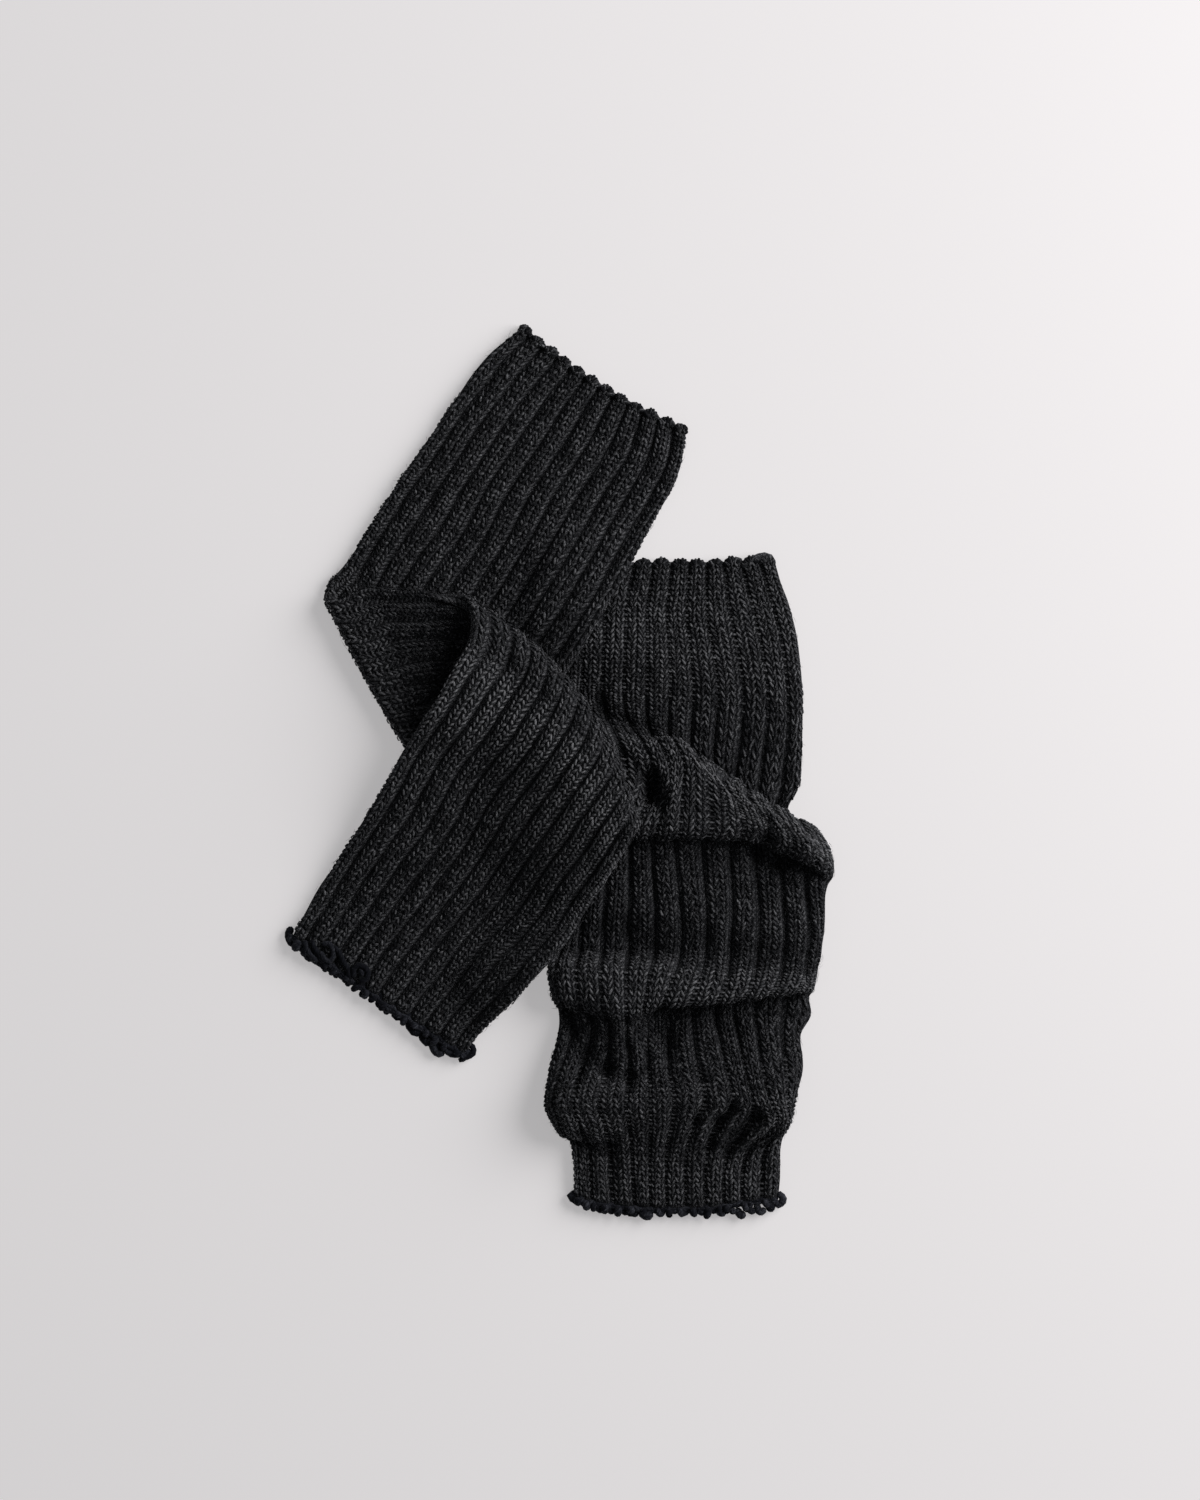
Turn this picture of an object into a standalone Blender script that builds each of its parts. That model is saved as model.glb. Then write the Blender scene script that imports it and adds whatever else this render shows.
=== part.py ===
"""A pair of chunky rib-knit leg warmers lying on a table, one folded twice over the other, which is pushed together.

+X is right, +Y is away along the table and +Z is up. The origin is on the table, under the middle of the pair.
Sizes are in millimetres here, and loft() turns them into metres.
"""

import math

import bmesh
import bpy
import numpy as np

COLLECTION = "leg_warmers"
MM = 0.001

# The knitted tube, laid flat
RIBS_ROUND = 24
RIB_DEPTH = 1.1
SHOULDER = 0.2  # half the width of the groove between two ribs, as a share of their pitch
WALL = 2.5
SLIT = 1.4  # left between the two layers of a tube that lies flat
TUBE_HALF = WALL + SLIT / 2
SEAM = 0.3
POINTS_PER_RIB = 3
RING = RIBS_ROUND * POINTS_PER_RIB

# The edgings knitted on at the ends of each tube
SCALLOP = 2.6
SCALLOP_BUMP = 1.3
CURL = 4.8
CURL_BUMP = 1.4

# How the folded leg warmer lies: a row for each section, from its p edge to its q edge. bow moves its middle
# forward. A row with a roll turns the tube over, round an axis that high above the row. A section with ride 1
# is lifted by all of the bunched tube that lies under it, and one with 0 only rests on what lies under it.
FOLDED_COLUMNS = ("name", "px", "py", "pz", "qx", "qy", "qz", "bow", "roll_p", "roll_q", "ride")
FOLDED_ROWS = (
    ("top_hem", -24.0, 256.0, 3.2, 72.5, 195.0, 3.2, -5.0, 0.0, 0.0, 1.0),
    ("below_top", -43.5, 240.0, 3.2, 71.5, 178.5, 3.2, -3.5, 0.0, 0.0, 1.0),
    ("shin", -79.5, 190.5, 3.2, 47.5, 131.0, 3.2, 0.0, 0.0, 0.0, 1.0),
    ("calf", -104.5, 151.5, 3.2, 8.5, 62.0, 3.2, 0.0, 0.0, 0.0, 1.0),
    ("near_turn", -121.5, 122.5, 3.2, -29.5, 12.0, 3.2, -1.0, 0.0, 0.0, 1.0),
    ("first_turn", -131.0, 107.5, 3.2, -59.5, -22.0, 3.2, -2.5, 3.9, 3.9, 1.0),
    ("crossing", -109.5, 105.0, 11.3, -32.0, -29.5, 11.3, 2.0, 0.0, 0.0, 1.0),
    ("rising", -87.5, 104.5, 11.8, -0.5, -32.0, 11.5, 10.0, 0.0, 0.0, 1.0),
    ("second_turn", -62.5, 90.5, 12.0, 37.5, -35.5, 9.0, 18.0, 10.4, 6.6, 1.0),
    ("over_the_top", -61.5, 62.0, 31.0, 33.0, -54.0, 20.5, 17.0, 0.0, 0.0, 0.97),
    ("upper_slope", -72.0, 42.0, 28.5, 25.5, -66.5, 17.0, 14.0, 0.0, 0.0, 0.9),
    ("off_the_stack", -87.5, 19.5, 23.5, 15.0, -81.5, 11.5, 9.0, 0.0, 0.0, 0.75),
    ("lower_slope", -104.5, -11.0, 16.5, 2.0, -102.5, 7.5, 5.0, 0.0, 0.0, 0.5),
    ("landing", -122.0, -39.0, 9.0, -17.5, -124.0, 4.5, 2.0, 0.0, 0.0, 0.25),
    ("above_bottom", -138.5, -64.0, 4.2, -33.0, -140.5, 3.2, 0.0, 0.0, 0.0, 0.0),
    ("bottom_band", -148.5, -80.0, 3.2, -46.5, -153.0, 3.2, 0.0, 0.0, 0.0, 0.0),
    ("bottom_hem", -153.0, -87.0, 3.2, -51.0, -160.0, 3.2, 0.0, 0.0, 0.0, 0.0),
)
ROLL_STEPS = 6
P_DRIFT = 0.95  # how far the cloth moves along a fold while it rolls over it, as a share of its way over
Q_DRIFT = 0.55
FOLDED_SPACING = 20.0
ALL_RIDE = 0.999

# How the bunched leg warmer lies: a row for each section of its upper side, from the left edge through the
# middle to the right edge. Where y turns back, the cloth rolls over itself.
BUNCHED_COLUMNS = ("name", "x_left", "x_right", "y_left", "y_mid", "y_right", "z_left", "z_mid", "z_right")
BUNCHED_ROWS = (
    ("top_hem", -1.0, 124.0, 119.0, 118.5, 120.5, 6.6, 6.6, 6.6),
    ("below_top", -2.0, 126.5, 107.0, 106.5, 109.5, 6.6, 6.6, 6.6),
    ("upper_shin", -2.5, 133.0, 92.0, 92.0, 95.0, 7.0, 7.5, 6.8),
    ("shin", -3.0, 138.5, 70.0, 70.0, 70.0, 8.0, 9.0, 7.0),
    ("dip", -4.0, 141.0, 47.0, 44.0, 38.5, 8.5, 9.0, 7.5),
    ("before_roll", -3.0, 140.0, 36.5, 17.0, 2.0, 8.0, 8.5, 7.5),
    ("tucked_in", -3.0, 130.0, 31.5, -0.5, -27.5, 7.5, 8.0, 7.0),
    ("tuck_end", -2.5, 134.0, 27.5, -9.5, -38.0, 8.0, 10.0, 8.5),
    ("roll_face", -2.5, 146.5, 35.0, 5.0, -33.0, 10.0, 17.0, 14.0),
    ("roll_top", -2.5, 152.5, 27.0, -8.0, -43.5, 12.5, 25.0, 20.0),
    ("roll_back", -2.5, 156.0, 0.0, -24.0, -50.5, 10.5, 25.5, 20.5),
    ("roll_end", -2.5, 157.5, -29.5, -36.5, -57.5, 9.5, 22.5, 18.5),
    ("step_down", -2.5, 155.0, -37.5, -42.0, -64.0, 9.0, 17.5, 15.5),
    ("plain_upper", -4.0, 152.5, -55.5, -59.5, -79.5, 9.0, 16.5, 15.0),
    ("plain_lower", -5.5, 153.5, -77.0, -80.0, -96.0, 9.0, 16.0, 15.0),
    ("valley", -6.5, 150.5, -100.0, -98.0, -106.5, 8.0, 14.5, 15.0),
    ("second_rise", -7.0, 149.0, -108.0, -107.5, -112.5, 15.0, 19.0, 18.0),
    ("second_top", -7.0, 148.0, -117.5, -119.0, -118.5, 20.0, 24.0, 20.0),
    ("second_face", -6.0, 147.0, -129.5, -131.5, -125.0, 18.0, 20.5, 16.5),
    ("second_foot", -2.5, 145.5, -134.0, -134.0, -128.5, 13.0, 14.0, 12.5),
    ("gap", -0.5, 143.5, -138.5, -137.5, -132.0, 12.0, 11.5, 11.5),
    ("puff_upper", -3.0, 143.0, -151.5, -150.0, -147.5, 15.0, 15.0, 15.0),
    ("puff_middle", -8.5, 140.0, -173.5, -171.0, -167.5, 19.0, 20.0, 17.0),
    ("puff_top", -9.0, 138.0, -192.0, -192.0, -189.0, 20.0, 23.0, 18.0),
    ("puff_lower", -5.0, 133.0, -206.0, -208.0, -204.0, 17.0, 20.0, 15.0),
    ("puff_foot", 1.0, 129.5, -213.5, -216.5, -212.5, 11.0, 13.0, 10.0),
    ("cuff_upper", 6.5, 127.5, -219.0, -222.0, -218.0, 8.5, 8.5, 8.0),
    ("cuff_lower", 7.0, 127.5, -232.0, -236.0, -232.0, 7.5, 8.0, 7.5),
    ("bottom_hem", 8.0, 126.5, -243.5, -249.0, -243.5, 6.6, 6.6, 6.6),
)
BUNCHED_SPACING = 10.0
BUNCHED_TOP_RIBS = 12
SIDE_LEAN = 2.5  # the side of a fold that hangs over keeps to the underside until near its top
UNDERSIDE_POINTS = 12
SLIT_INSET = 0.55  # how far the slit keeps in from a tall, rounded side, as a share of the side's extra radius

# Dents and swells of the bunched upper side, from one end to the other, where it stands high enough
DENT_FROM = 11.0
DENT_EASE = 6.0
DENT_COLUMNS = ("name", "x1", "y1", "x2", "y2", "spread", "height")
DENT_ROWS = (
    ("hole_by_the_roll", 55.0, -4.0, 56.0, -12.0, 6.0, -8.0),
    ("bridge_to_the_puff", 20.0, -128.0, 38.0, -150.0, 10.0, 4.5),
    ("trough_beside_bridge", 62.0, -134.0, 64.0, -158.0, 6.0, -3.5),
    ("slanting_crease", 94.0, -222.0, 112.0, -203.0, 4.0, -5.0),
    ("swell_by_crease", 80.0, -205.0, 100.0, -188.0, 8.0, 3.0),
)

# The height of the bunched tube, held on a grid of cells and softened, carries the folded tube
CELL = 4.0
GROW = 1
STEEPEST = 0.42
SOFTEN = 3
MARGIN = 12
ROW_SPLITS = 8
POINT_SPLITS = 4
CLEAR = 0.8
TOUCH = 3.0  # over this height the folded tube eases from following what lies under it to resting on it


def table(rows, columns):
    """The numbers of a table as a dictionary of columns."""
    return {name: np.array([row[k] for row in rows]) for k, name in enumerate(columns)}


def unit(vectors):
    """Vectors of length 1 along the last axis."""
    return vectors / np.linalg.norm(vectors, axis=-1, keepdims=True)


def heading(points):
    """The direction along the rows at each point, halfway between the ways to it and from it."""
    ways = unit(np.diff(points, axis=0))
    return unit(np.concatenate([ways[:1], ways]) + np.concatenate([ways, ways[-1:]]))


def blend(edge, middle, other_edge, across):
    """A value across a section, level at its two edges and at its middle."""
    ramp = np.abs(2 * across - 1)
    ramp = ramp * ramp * (3 - 2 * ramp)
    return middle + (np.where(across < 0.5, edge, other_edge) - middle) * ramp


def ring_positions(width, half):
    """Where the ring's points lie round a flat tube: the centre of each along the width, and its direction."""
    shares = np.array([0.0, SHOULDER, 1 - SHOULDER])
    rib = np.arange(RIBS_ROUND)[:, None] + shares
    run = (rib.ravel() / RIBS_ROUND) % 1.0
    quarter = math.pi * half / 2
    flat = width - 2 * half
    side = run < 0.5
    along = np.where(side, run, 1 - run) * 2 * (2 * quarter + flat)
    angle = np.where(along < quarter, along / half, math.pi / 2)
    angle = np.where(along > quarter + flat, math.pi / 2 + (along - quarter - flat) / half, angle)
    centre = half + np.clip(along - quarter, 0, flat)
    return centre, -np.cos(angle), np.where(side, 1, -1) * np.sin(angle)


def even_slopes(rows, place):
    """The slope of each column at each row, such that a curve through the rows never overshoots them."""
    steps = np.diff(place)[:, None]
    secants = np.diff(rows, axis=0) / steps
    before, after = secants[:-1], secants[1:]
    wide_before, wide_after = steps[:-1] + 2 * steps[1:], 2 * steps[:-1] + steps[1:]
    same_way = before * after > 0
    safe_before, safe_after = np.where(same_way, before, 1), np.where(same_way, after, 1)
    mean = (wide_before + wide_after) / (wide_after / safe_before + wide_before / safe_after)
    slopes = np.zeros(rows.shape)
    slopes[1:-1] = np.where(same_way, mean, 0)
    slopes[0], slopes[-1] = secants[0], secants[-1]
    return slopes


def resample(rows, lines, spacing):
    """More rows, on a smooth curve through the given ones, where two lie further apart than the spacing.

    lines are the lines, a point for each row, along which they are measured.
    """
    steps = np.max([np.linalg.norm(np.diff(line, axis=0), axis=1) for line in lines], axis=0)
    place = np.concatenate([[0], np.cumsum(steps)])
    slope = even_slopes(rows, place)
    made = []
    for k, step in enumerate(steps):
        pieces = max(1, round(step / spacing))
        for share in np.arange(pieces) / pieces:
            later = share * share * (3 - 2 * share)
            start_pull = share * (1 - share) ** 2 * step
            end_pull = share * share * (share - 1) * step
            made.append(
                rows[k] * (1 - later) + rows[k + 1] * later + slope[k] * start_pull + slope[k + 1] * end_pull
            )
    made.append(rows[-1])
    return np.array(made)


def folded_rows():
    """The rows of the folded tube, with the turns written out: p point, q point, bow and ride."""
    t = table(FOLDED_ROWS, FOLDED_COLUMNS)
    p = np.column_stack([t["px"], t["py"], t["pz"]])
    q = np.column_stack([t["qx"], t["qy"], t["qz"]])
    rows = []
    for k in range(len(p)):
        if t["roll_p"][k] == 0:
            rows.append((p[k], q[k], t["bow"][k], t["ride"][k]))
            continue
        axis = unit((q[k] - p[k])[:2])
        travel = (p[k] + q[k] - p[k - 1] - q[k - 1])[:2]
        ahead = unit(travel - travel @ axis * axis)
        for angle in np.linspace(-math.pi / 2, math.pi / 2, ROLL_STEPS + 1):
            ends = []
            for end, radius, drift in ((p[k], t["roll_p"][k], P_DRIFT), (q[k], t["roll_q"][k], Q_DRIFT)):
                plan = ahead * radius * math.cos(angle) + axis * drift * radius * angle
                ends.append(end + np.array([plan[0], plan[1], radius * (1 + math.sin(angle))]))
            rows.append((ends[0], ends[1], t["bow"][k], t["ride"][k]))
    rows = np.array([[*p, *q, bow, ride] for p, q, bow, ride in rows])
    rows = resample(rows, (rows[:, :3], rows[:, 3:6]), FOLDED_SPACING)
    return rows[:, :3], rows[:, 3:6], rows[:, 6:7], rows[:, 7:8]


def folded_middle(rows, across, carried, crossed):
    """The middle surface of the folded tube: a point for each row and each place across it.

    carried gives the height that lifts it, and crossed the height that its last stretch rests on.
    """
    p, q, bow, ride = rows
    p, q = p[:, None], q[:, None]
    across = across[..., None]
    span = q - p
    forward = unit(np.stack([-span[..., 1], span[..., 0], 0 * span[..., 0]], axis=-1))
    points = p + span * across + forward * bow[..., None] * 4 * across * (1 - across)
    points[..., 2] += ride * carried(points[..., 0], points[..., 1])
    resting = crossed(points[..., 0], points[..., 1]) + TUBE_HALF
    near = 1 - np.abs(np.clip((points[..., 2] - resting) / TOUCH, -1, 1))
    rested = np.maximum(points[..., 2], resting) + TOUCH / 4 * near**2
    points[..., 2] += (rested - points[..., 2]) * (ride < ALL_RIDE)
    return points


def folded_grids(rows, carried, crossed):
    """Outer and inner points of the folded tube, a ring for each row."""
    p, q = rows[0], rows[1]
    width = np.linalg.norm(q - p, axis=1)
    sections = [ring_positions(w, TUBE_HALF) for w in width]
    centre, aside, up = [np.array(part) for part in zip(*sections)]
    across = centre / width[:, None]
    middle = folded_middle(rows, across, carried, crossed)
    step = 0.02
    further = folded_middle(rows, across + step, carried, crossed)
    over = unit(further - folded_middle(rows, across - step, carried, crossed))
    normal = unit(np.cross(heading(middle), over))
    smooth = middle + (over * aside[..., None] + normal * up[..., None]) * TUBE_HALF
    raised = np.clip((smooth[..., 2] - 0.5) / 2, 0, 1)
    groove = (np.arange(RING) % POINTS_PER_RIB == 0) * RIB_DEPTH * raised
    outer = middle + (over * aside[..., None] + normal * up[..., None]) * (TUBE_HALF - groove)[..., None]
    inner = middle + (over * aside[..., None] + normal * up[..., None]) * SLIT / 2
    outer[..., 2] = np.maximum(outer[..., 2], 0)
    return outer, inner


def bunched_ring():
    """How far round the upper side each point lies, from 0 to 1, and for the underside the same, negative."""
    shares = np.array([0.0, SHOULDER, 1 - SHOULDER])
    upper = ((np.arange(BUNCHED_TOP_RIBS)[:, None] + shares) / BUNCHED_TOP_RIBS).ravel()
    lower = -np.linspace(1, 0, UNDERSIDE_POINTS + 1)[:-1]
    return upper, lower


def floor_path(upper):
    """Where the underside lies along the table: it goes steadily on where the upper side turns back."""
    forward = np.maximum.accumulate(-upper, axis=0)
    even = np.linspace(0, 1, len(upper))[:, None]
    steady = 0.85 * forward + 0.15 * (forward[:1] + (forward[-1:] - forward[:1]) * even)
    for _ in range(3):
        steady[1:-1] = (steady[:-2] + 2 * steady[1:-1] + steady[2:]) / 4
    return -steady


def dents(x, y):
    """The height that the dents and swells add at a place."""
    total = np.zeros(x.shape)
    for row in DENT_ROWS:
        dent = dict(zip(DENT_COLUMNS, row))
        aside, away = x - dent["x1"], y - dent["y1"]
        run = np.array([dent["x2"] - dent["x1"], dent["y2"] - dent["y1"]])
        share = np.clip((aside * run[0] + away * run[1]) / (run @ run), 0, 1)
        distance = np.hypot(aside - run[0] * share, away - run[1] * share)
        total += dent["height"] * np.exp(-0.5 * (distance / dent["spread"]) ** 2)
    return total


def narrowest(edge):
    """An edge that keeps in as far as the two rows before and after it do."""
    padded = np.pad(edge, ((2, 2), (0, 0)), mode="edge")
    return np.maximum.reduce([padded[k : k + len(edge)] for k in range(5)])


def bunched_rows():
    """The rows of the bunched tube, close together, as a dictionary of columns."""
    rows = np.array([row[1:] for row in BUNCHED_ROWS])
    lines = [rows[:, [side, side + 3]] for side in (2, 3, 4)]
    rows = resample(rows, lines, BUNCHED_SPACING)
    return {name: rows[:, k, None] for k, name in enumerate(BUNCHED_COLUMNS[1:])}


def bunched_grids():
    """Outer and inner points of the bunched tube, a ring for each row."""
    t = bunched_rows()
    upper, lower = bunched_ring()
    width = t["x_right"] - t["x_left"]
    left = t["z_left"] / 2
    right = t["z_right"] / 2
    arc = math.pi / 2 * (left + right) + width - left - right
    run = upper * arc
    from_right = arc - run
    angle = np.where(run < math.pi / 2 * left, run / left, math.pi / 2)
    angle = np.where(from_right < math.pi / 2 * right, from_right / right, angle)
    x = left + run - math.pi / 2 * left
    x = np.where(run < math.pi / 2 * left, left * (1 - np.cos(angle)), x)
    x = np.where(from_right < math.pi / 2 * right, width - right * (1 - np.cos(angle)), x)
    turn = -lower * UNDERSIDE_POINTS
    corner = np.minimum(turn, UNDERSIDE_POINTS - turn)
    low_angle = np.minimum(corner, 2) / 2 * math.pi / 2
    flat = np.clip((turn - 2) / (UNDERSIDE_POINTS - 4), 0, 1)
    low_x = left + (width - left - right) * flat
    low_x = np.where(turn < 2, left * (1 - np.cos(low_angle)), low_x)
    low_x = np.where(turn > UNDERSIDE_POINTS - 2, width - right * (1 - np.cos(low_angle)), low_x)
    x = np.hstack([x, low_x])
    rise = np.hstack([np.sin(angle), -np.sin(low_angle) + np.zeros(low_x.shape)])
    across = x / width
    y_upper = blend(t["y_left"], t["y_mid"], t["y_right"], across)
    y_floor = floor_path(y_upper)
    tall = blend(t["z_left"], t["z_mid"], t["z_right"], across)
    x = x + t["x_left"]
    y = y_floor + (y_upper - y_floor) * ((1 + rise) / 2) ** SIDE_LEAN
    dented = tall + dents(x, y_upper) * np.clip((tall - DENT_FROM) / DENT_EASE, 0, 1)
    z = (tall + (dented - tall) * np.clip(rise, 0, 1) ** 2) * (1 + rise) / 2
    outer = np.stack([x, y, z], axis=-1)
    round_it = np.roll(outer, -1, axis=1) - np.roll(outer, 1, axis=1)
    normal = unit(np.cross(heading(outer), round_it))
    ribbed = np.concatenate([np.arange(len(upper)) % POINTS_PER_RIB == 0, np.zeros(len(lower))])
    depth = ribbed * RIB_DEPTH * np.clip(rise + 0.5, 0, 1)
    outer = outer - normal * depth[..., None]
    outer[..., 2] = np.maximum(outer[..., 2], 0)
    inner_left = narrowest(t["x_left"] + TUBE_HALF + SLIT_INSET * (left - TUBE_HALF))
    inner_right = -narrowest(TUBE_HALF + SLIT_INSET * (right - TUBE_HALF) - t["x_right"])
    inner_x = np.clip(x, inner_left, inner_right)
    inner_z = TUBE_HALF + SLIT / 2 * rise
    inner_x = inner_x + SLIT / 2 * np.sign(across - 0.5) * (1 - np.abs(rise))
    inner = np.stack([inner_x, y_floor, inner_z], axis=-1)
    return outer, inner


def closer(points, times):
    """A grid of points with more rows between its rows."""
    ahead = np.concatenate([points[1:], points[-1:]])
    shares = np.arange(times) / times
    return np.concatenate([points * (1 - share) + ahead * share for share in shares])


def beside(grid):
    """The grid moved by one cell each way."""
    return [np.roll(grid, shift, axis=axis) for axis in (0, 1) for shift in (-1, 1)]


def spread(grid, times, drop):
    """The grid with its high places grown by a cell each time, that much lower."""
    for _ in range(times):
        grid = np.maximum.reduce([grid, *(near - drop for near in beside(grid))])
    return grid


def soften(grid, times):
    """The grid with its steps evened out."""
    for _ in range(times):
        grid = grid / 2 + sum(beside(grid)) / 8
    return grid


def height_over(grids):
    """A function that gives the height of the cloth at a place, a little wider and softer than it is."""
    low = np.min([grid[..., :2].min(axis=(0, 1)) for grid in grids], axis=0) - MARGIN * CELL
    high = np.max([grid[..., :2].max(axis=(0, 1)) for grid in grids], axis=0) + MARGIN * CELL
    size = ((high - low) / CELL).astype(int) + 1
    grid = np.zeros(size)
    for points in grids:
        fine = closer(points, ROW_SPLITS).swapaxes(0, 1)
        fine = closer(fine, POINT_SPLITS)
        cell = ((fine[..., :2] - low) / CELL).round().astype(int)
        np.maximum.at(grid, (cell[..., 0], cell[..., 1]), fine[..., 2])
    grid = spread(grid, GROW, 0)
    grid = spread(grid, MARGIN, CELL * STEEPEST)
    grid = soften(grid, SOFTEN)

    def height(x, y):
        u = np.clip((x - low[0]) / CELL, 0, size[0] - 2)
        v = np.clip((y - low[1]) / CELL, 0, size[1] - 2)
        i, j = u.astype(int), v.astype(int)
        fu, fv = u - i, v - j
        near = grid[i, j] * (1 - fv) + grid[i, j + 1] * fv
        far = grid[i + 1, j] * (1 - fv) + grid[i + 1, j + 1] * fv
        level = near * (1 - fu) + far * fu
        return level + CLEAR * np.clip(level / 2, 0, 1)

    return height


def material(name, colour, roughness):
    """A plain cloth material."""
    made = bpy.data.materials.new(name)
    made.use_nodes = True
    shader = made.node_tree.nodes["Principled BSDF"]
    shader.inputs["Base Color"].default_value = (*colour, 1)
    shader.inputs["Roughness"].default_value = roughness
    shader.inputs["Metallic"].default_value = 0
    return made


def put_out(name, mesh, cloth):
    """The finished mesh as an object of the collection, with its faces pointing out."""
    bmesh.ops.recalc_face_normals(mesh, faces=mesh.faces[:])
    if mesh.calc_volume(signed=True) < 0:
        bmesh.ops.reverse_faces(mesh, faces=mesh.faces[:])
    data = bpy.data.meshes.new(name)
    mesh.to_mesh(data)
    mesh.free()
    data.materials.append(cloth)
    made = bpy.data.objects.new(name, data)
    bpy.data.collections[COLLECTION].objects.link(made)
    return made


def loft(name, outer, inner, mirrored, cloth):
    """A tube's wall between its outer rings and its plainer inner rings, closed by a rim at each end.

    The faces of its two layers are cut along mirrored diagonals, so that they stay as far apart as their points.
    mirrored is the share of the ring that its upper layer takes.
    """
    mesh = bmesh.new()
    skins = []
    for grid in (outer, inner[:, ::POINTS_PER_RIB]):
        rings = [[mesh.verts.new(point * MM) for point in ring] for ring in grid]
        count = len(rings[0])
        for ring, following in zip(rings, rings[1:]):
            for k in range(count):
                after = (k + 1) % count
                corners = (ring[k], ring[after], following[after], following[k])
                if k < mirrored * count:
                    corners = corners[1:] + corners[:1]
                mesh.faces.new((corners[0], corners[1], corners[2]))
                mesh.faces.new((corners[0], corners[2], corners[3]))
        skins.append(rings)
    for end in (0, -1):
        out, within = skins[0][end], skins[1][end]
        for k in range(len(within)):
            o = [out[(POINTS_PER_RIB * k + step) % len(out)] for step in range(POINTS_PER_RIB + 1)]
            first, second = within[k], within[(k + 1) % len(within)]
            mesh.faces.new((o[0], o[1], first))
            mesh.faces.new((o[1], o[2], second, first))
            mesh.faces.new((o[2], o[3], second))
    return put_out(name, mesh, cloth)


def edging(name, outer, inner, ahead, shape, cloth):
    """A closed band that goes on from a tube's end: shape gives its section at each rib point."""
    mesh = bmesh.new()
    rings = []
    for k in range(len(outer)):
        ring = []
        for through, out in shape(k):
            place = inner[k] + (outer[k] - inner[k]) * through + ahead[k] * out
            ring.append(mesh.verts.new((place[0] * MM, place[1] * MM, max(place[2], 0) * MM)))
        rings.append(ring)
    sides = len(rings[0])
    for k, ring in enumerate(rings):
        following = rings[(k + 1) % len(rings)]
        for s in range(sides):
            mesh.faces.new((ring[s], ring[(s + 1) % sides], following[(s + 1) % sides], following[s]))
    return put_out(name, mesh, cloth)


def scallop(k):
    """Section of the top edging: one low bump for each rib."""
    reach = SEAM + SCALLOP + SCALLOP_BUMP * (k % POINTS_PER_RIB > 0)
    return ((0.05, SEAM), (0.95, SEAM), (0.8, reach), (0.2, reach))


def curl(k):
    """Section of the bottom edging: a rounded roll with knobs."""
    reach = SEAM + CURL + CURL_BUMP * (k % POINTS_PER_RIB - 1)
    return ((0.1, SEAM), (0.9, SEAM), (1.05, 0.5 * reach), (0.8, reach), (0.2, reach), (0.0, 0.5 * reach))


def leg_warmer(name, grids, upper_share, knit, edge):
    """One leg warmer: its tube, whose upper layer has that share of the ring, and the edgings at its two ends."""
    outer, inner = grids
    loft(f"{name}_tube", outer, inner, upper_share, knit)
    ends = (("top_edge", 0, 1, scallop), ("bottom_edge", -1, -2, curl))
    for part, end, before, shape in ends:
        middle = (outer + inner) / 2
        ahead = unit(middle[end] - middle[before])
        edging(f"{name}_{part}", outer[end], inner[end], ahead, shape, edge)


def main():
    """Build the pair."""
    for old in list(bpy.data.objects):
        bpy.data.objects.remove(old)
    bpy.context.scene.collection.children.link(bpy.data.collections.new(COLLECTION))
    knit = material("charcoal_rib_knit", (0.035, 0.037, 0.042), 0.95)
    edge = material("dark_edging_yarn", (0.016, 0.018, 0.024), 0.9)
    bunched = bunched_grids()
    upper, lower = bunched_ring()
    leg_warmer("bunched", bunched, len(upper) / (len(upper) + len(lower)), knit, edge)
    outer = bunched[0]
    edging_row = outer[:1] + unit(outer[:1] - outer[1:2]) * (SEAM + SCALLOP + SCALLOP_BUMP)
    lying = np.concatenate([edging_row, outer])
    carried = height_over([lying])
    rows = folded_rows()
    below = int((rows[3] > ALL_RIDE).sum()) - ROLL_STEPS
    first_layers = folded_grids(rows, carried, carried)[0][:below]
    folded = folded_grids(rows, carried, height_over([lying, first_layers]))
    leg_warmer("folded", folded, 0.5, knit, edge)


main()
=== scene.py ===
"""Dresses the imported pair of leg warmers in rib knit: cloth, stitches, edgings, fibres, light and camera.

+X is right, +Y is away along the table and +Z is up. Tables and sizes are in millimetres, as in the part's
own source, and MM turns them into metres when a mesh is made.
"""

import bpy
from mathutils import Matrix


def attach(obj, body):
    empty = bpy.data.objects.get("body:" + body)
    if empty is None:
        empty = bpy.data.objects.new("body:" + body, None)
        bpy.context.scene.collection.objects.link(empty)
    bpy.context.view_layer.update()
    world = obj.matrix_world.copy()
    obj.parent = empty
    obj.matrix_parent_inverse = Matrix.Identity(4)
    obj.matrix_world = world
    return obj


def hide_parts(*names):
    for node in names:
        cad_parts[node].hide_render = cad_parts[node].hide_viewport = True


bl_info = {
    "name": "Rib-knit leg warmers",
    "version": (1, 0, 0),
    "blender": (4, 5, 0),
    "location": "3D View > Sidebar > Leg warmers",
    "description": "Knits a folded and a bunched leg warmer round their packed solids",
    "category": "Object",
}

import math

import bmesh
import bpy
import numpy as np
from mathutils import Vector
from mathutils.bvhtree import BVHTree

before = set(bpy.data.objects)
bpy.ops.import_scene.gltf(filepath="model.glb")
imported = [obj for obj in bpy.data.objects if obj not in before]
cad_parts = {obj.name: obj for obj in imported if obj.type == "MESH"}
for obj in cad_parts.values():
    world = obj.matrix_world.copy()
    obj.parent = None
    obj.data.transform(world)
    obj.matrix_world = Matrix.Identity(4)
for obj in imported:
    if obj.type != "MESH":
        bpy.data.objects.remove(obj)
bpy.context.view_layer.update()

MM = 0.001
RIBS_ROUND = 24
WALL = 2.5
SLIT = 1.4  # left between the two layers of a tube that lies flat
TUBE_HALF = WALL + SLIT / 2

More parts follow.
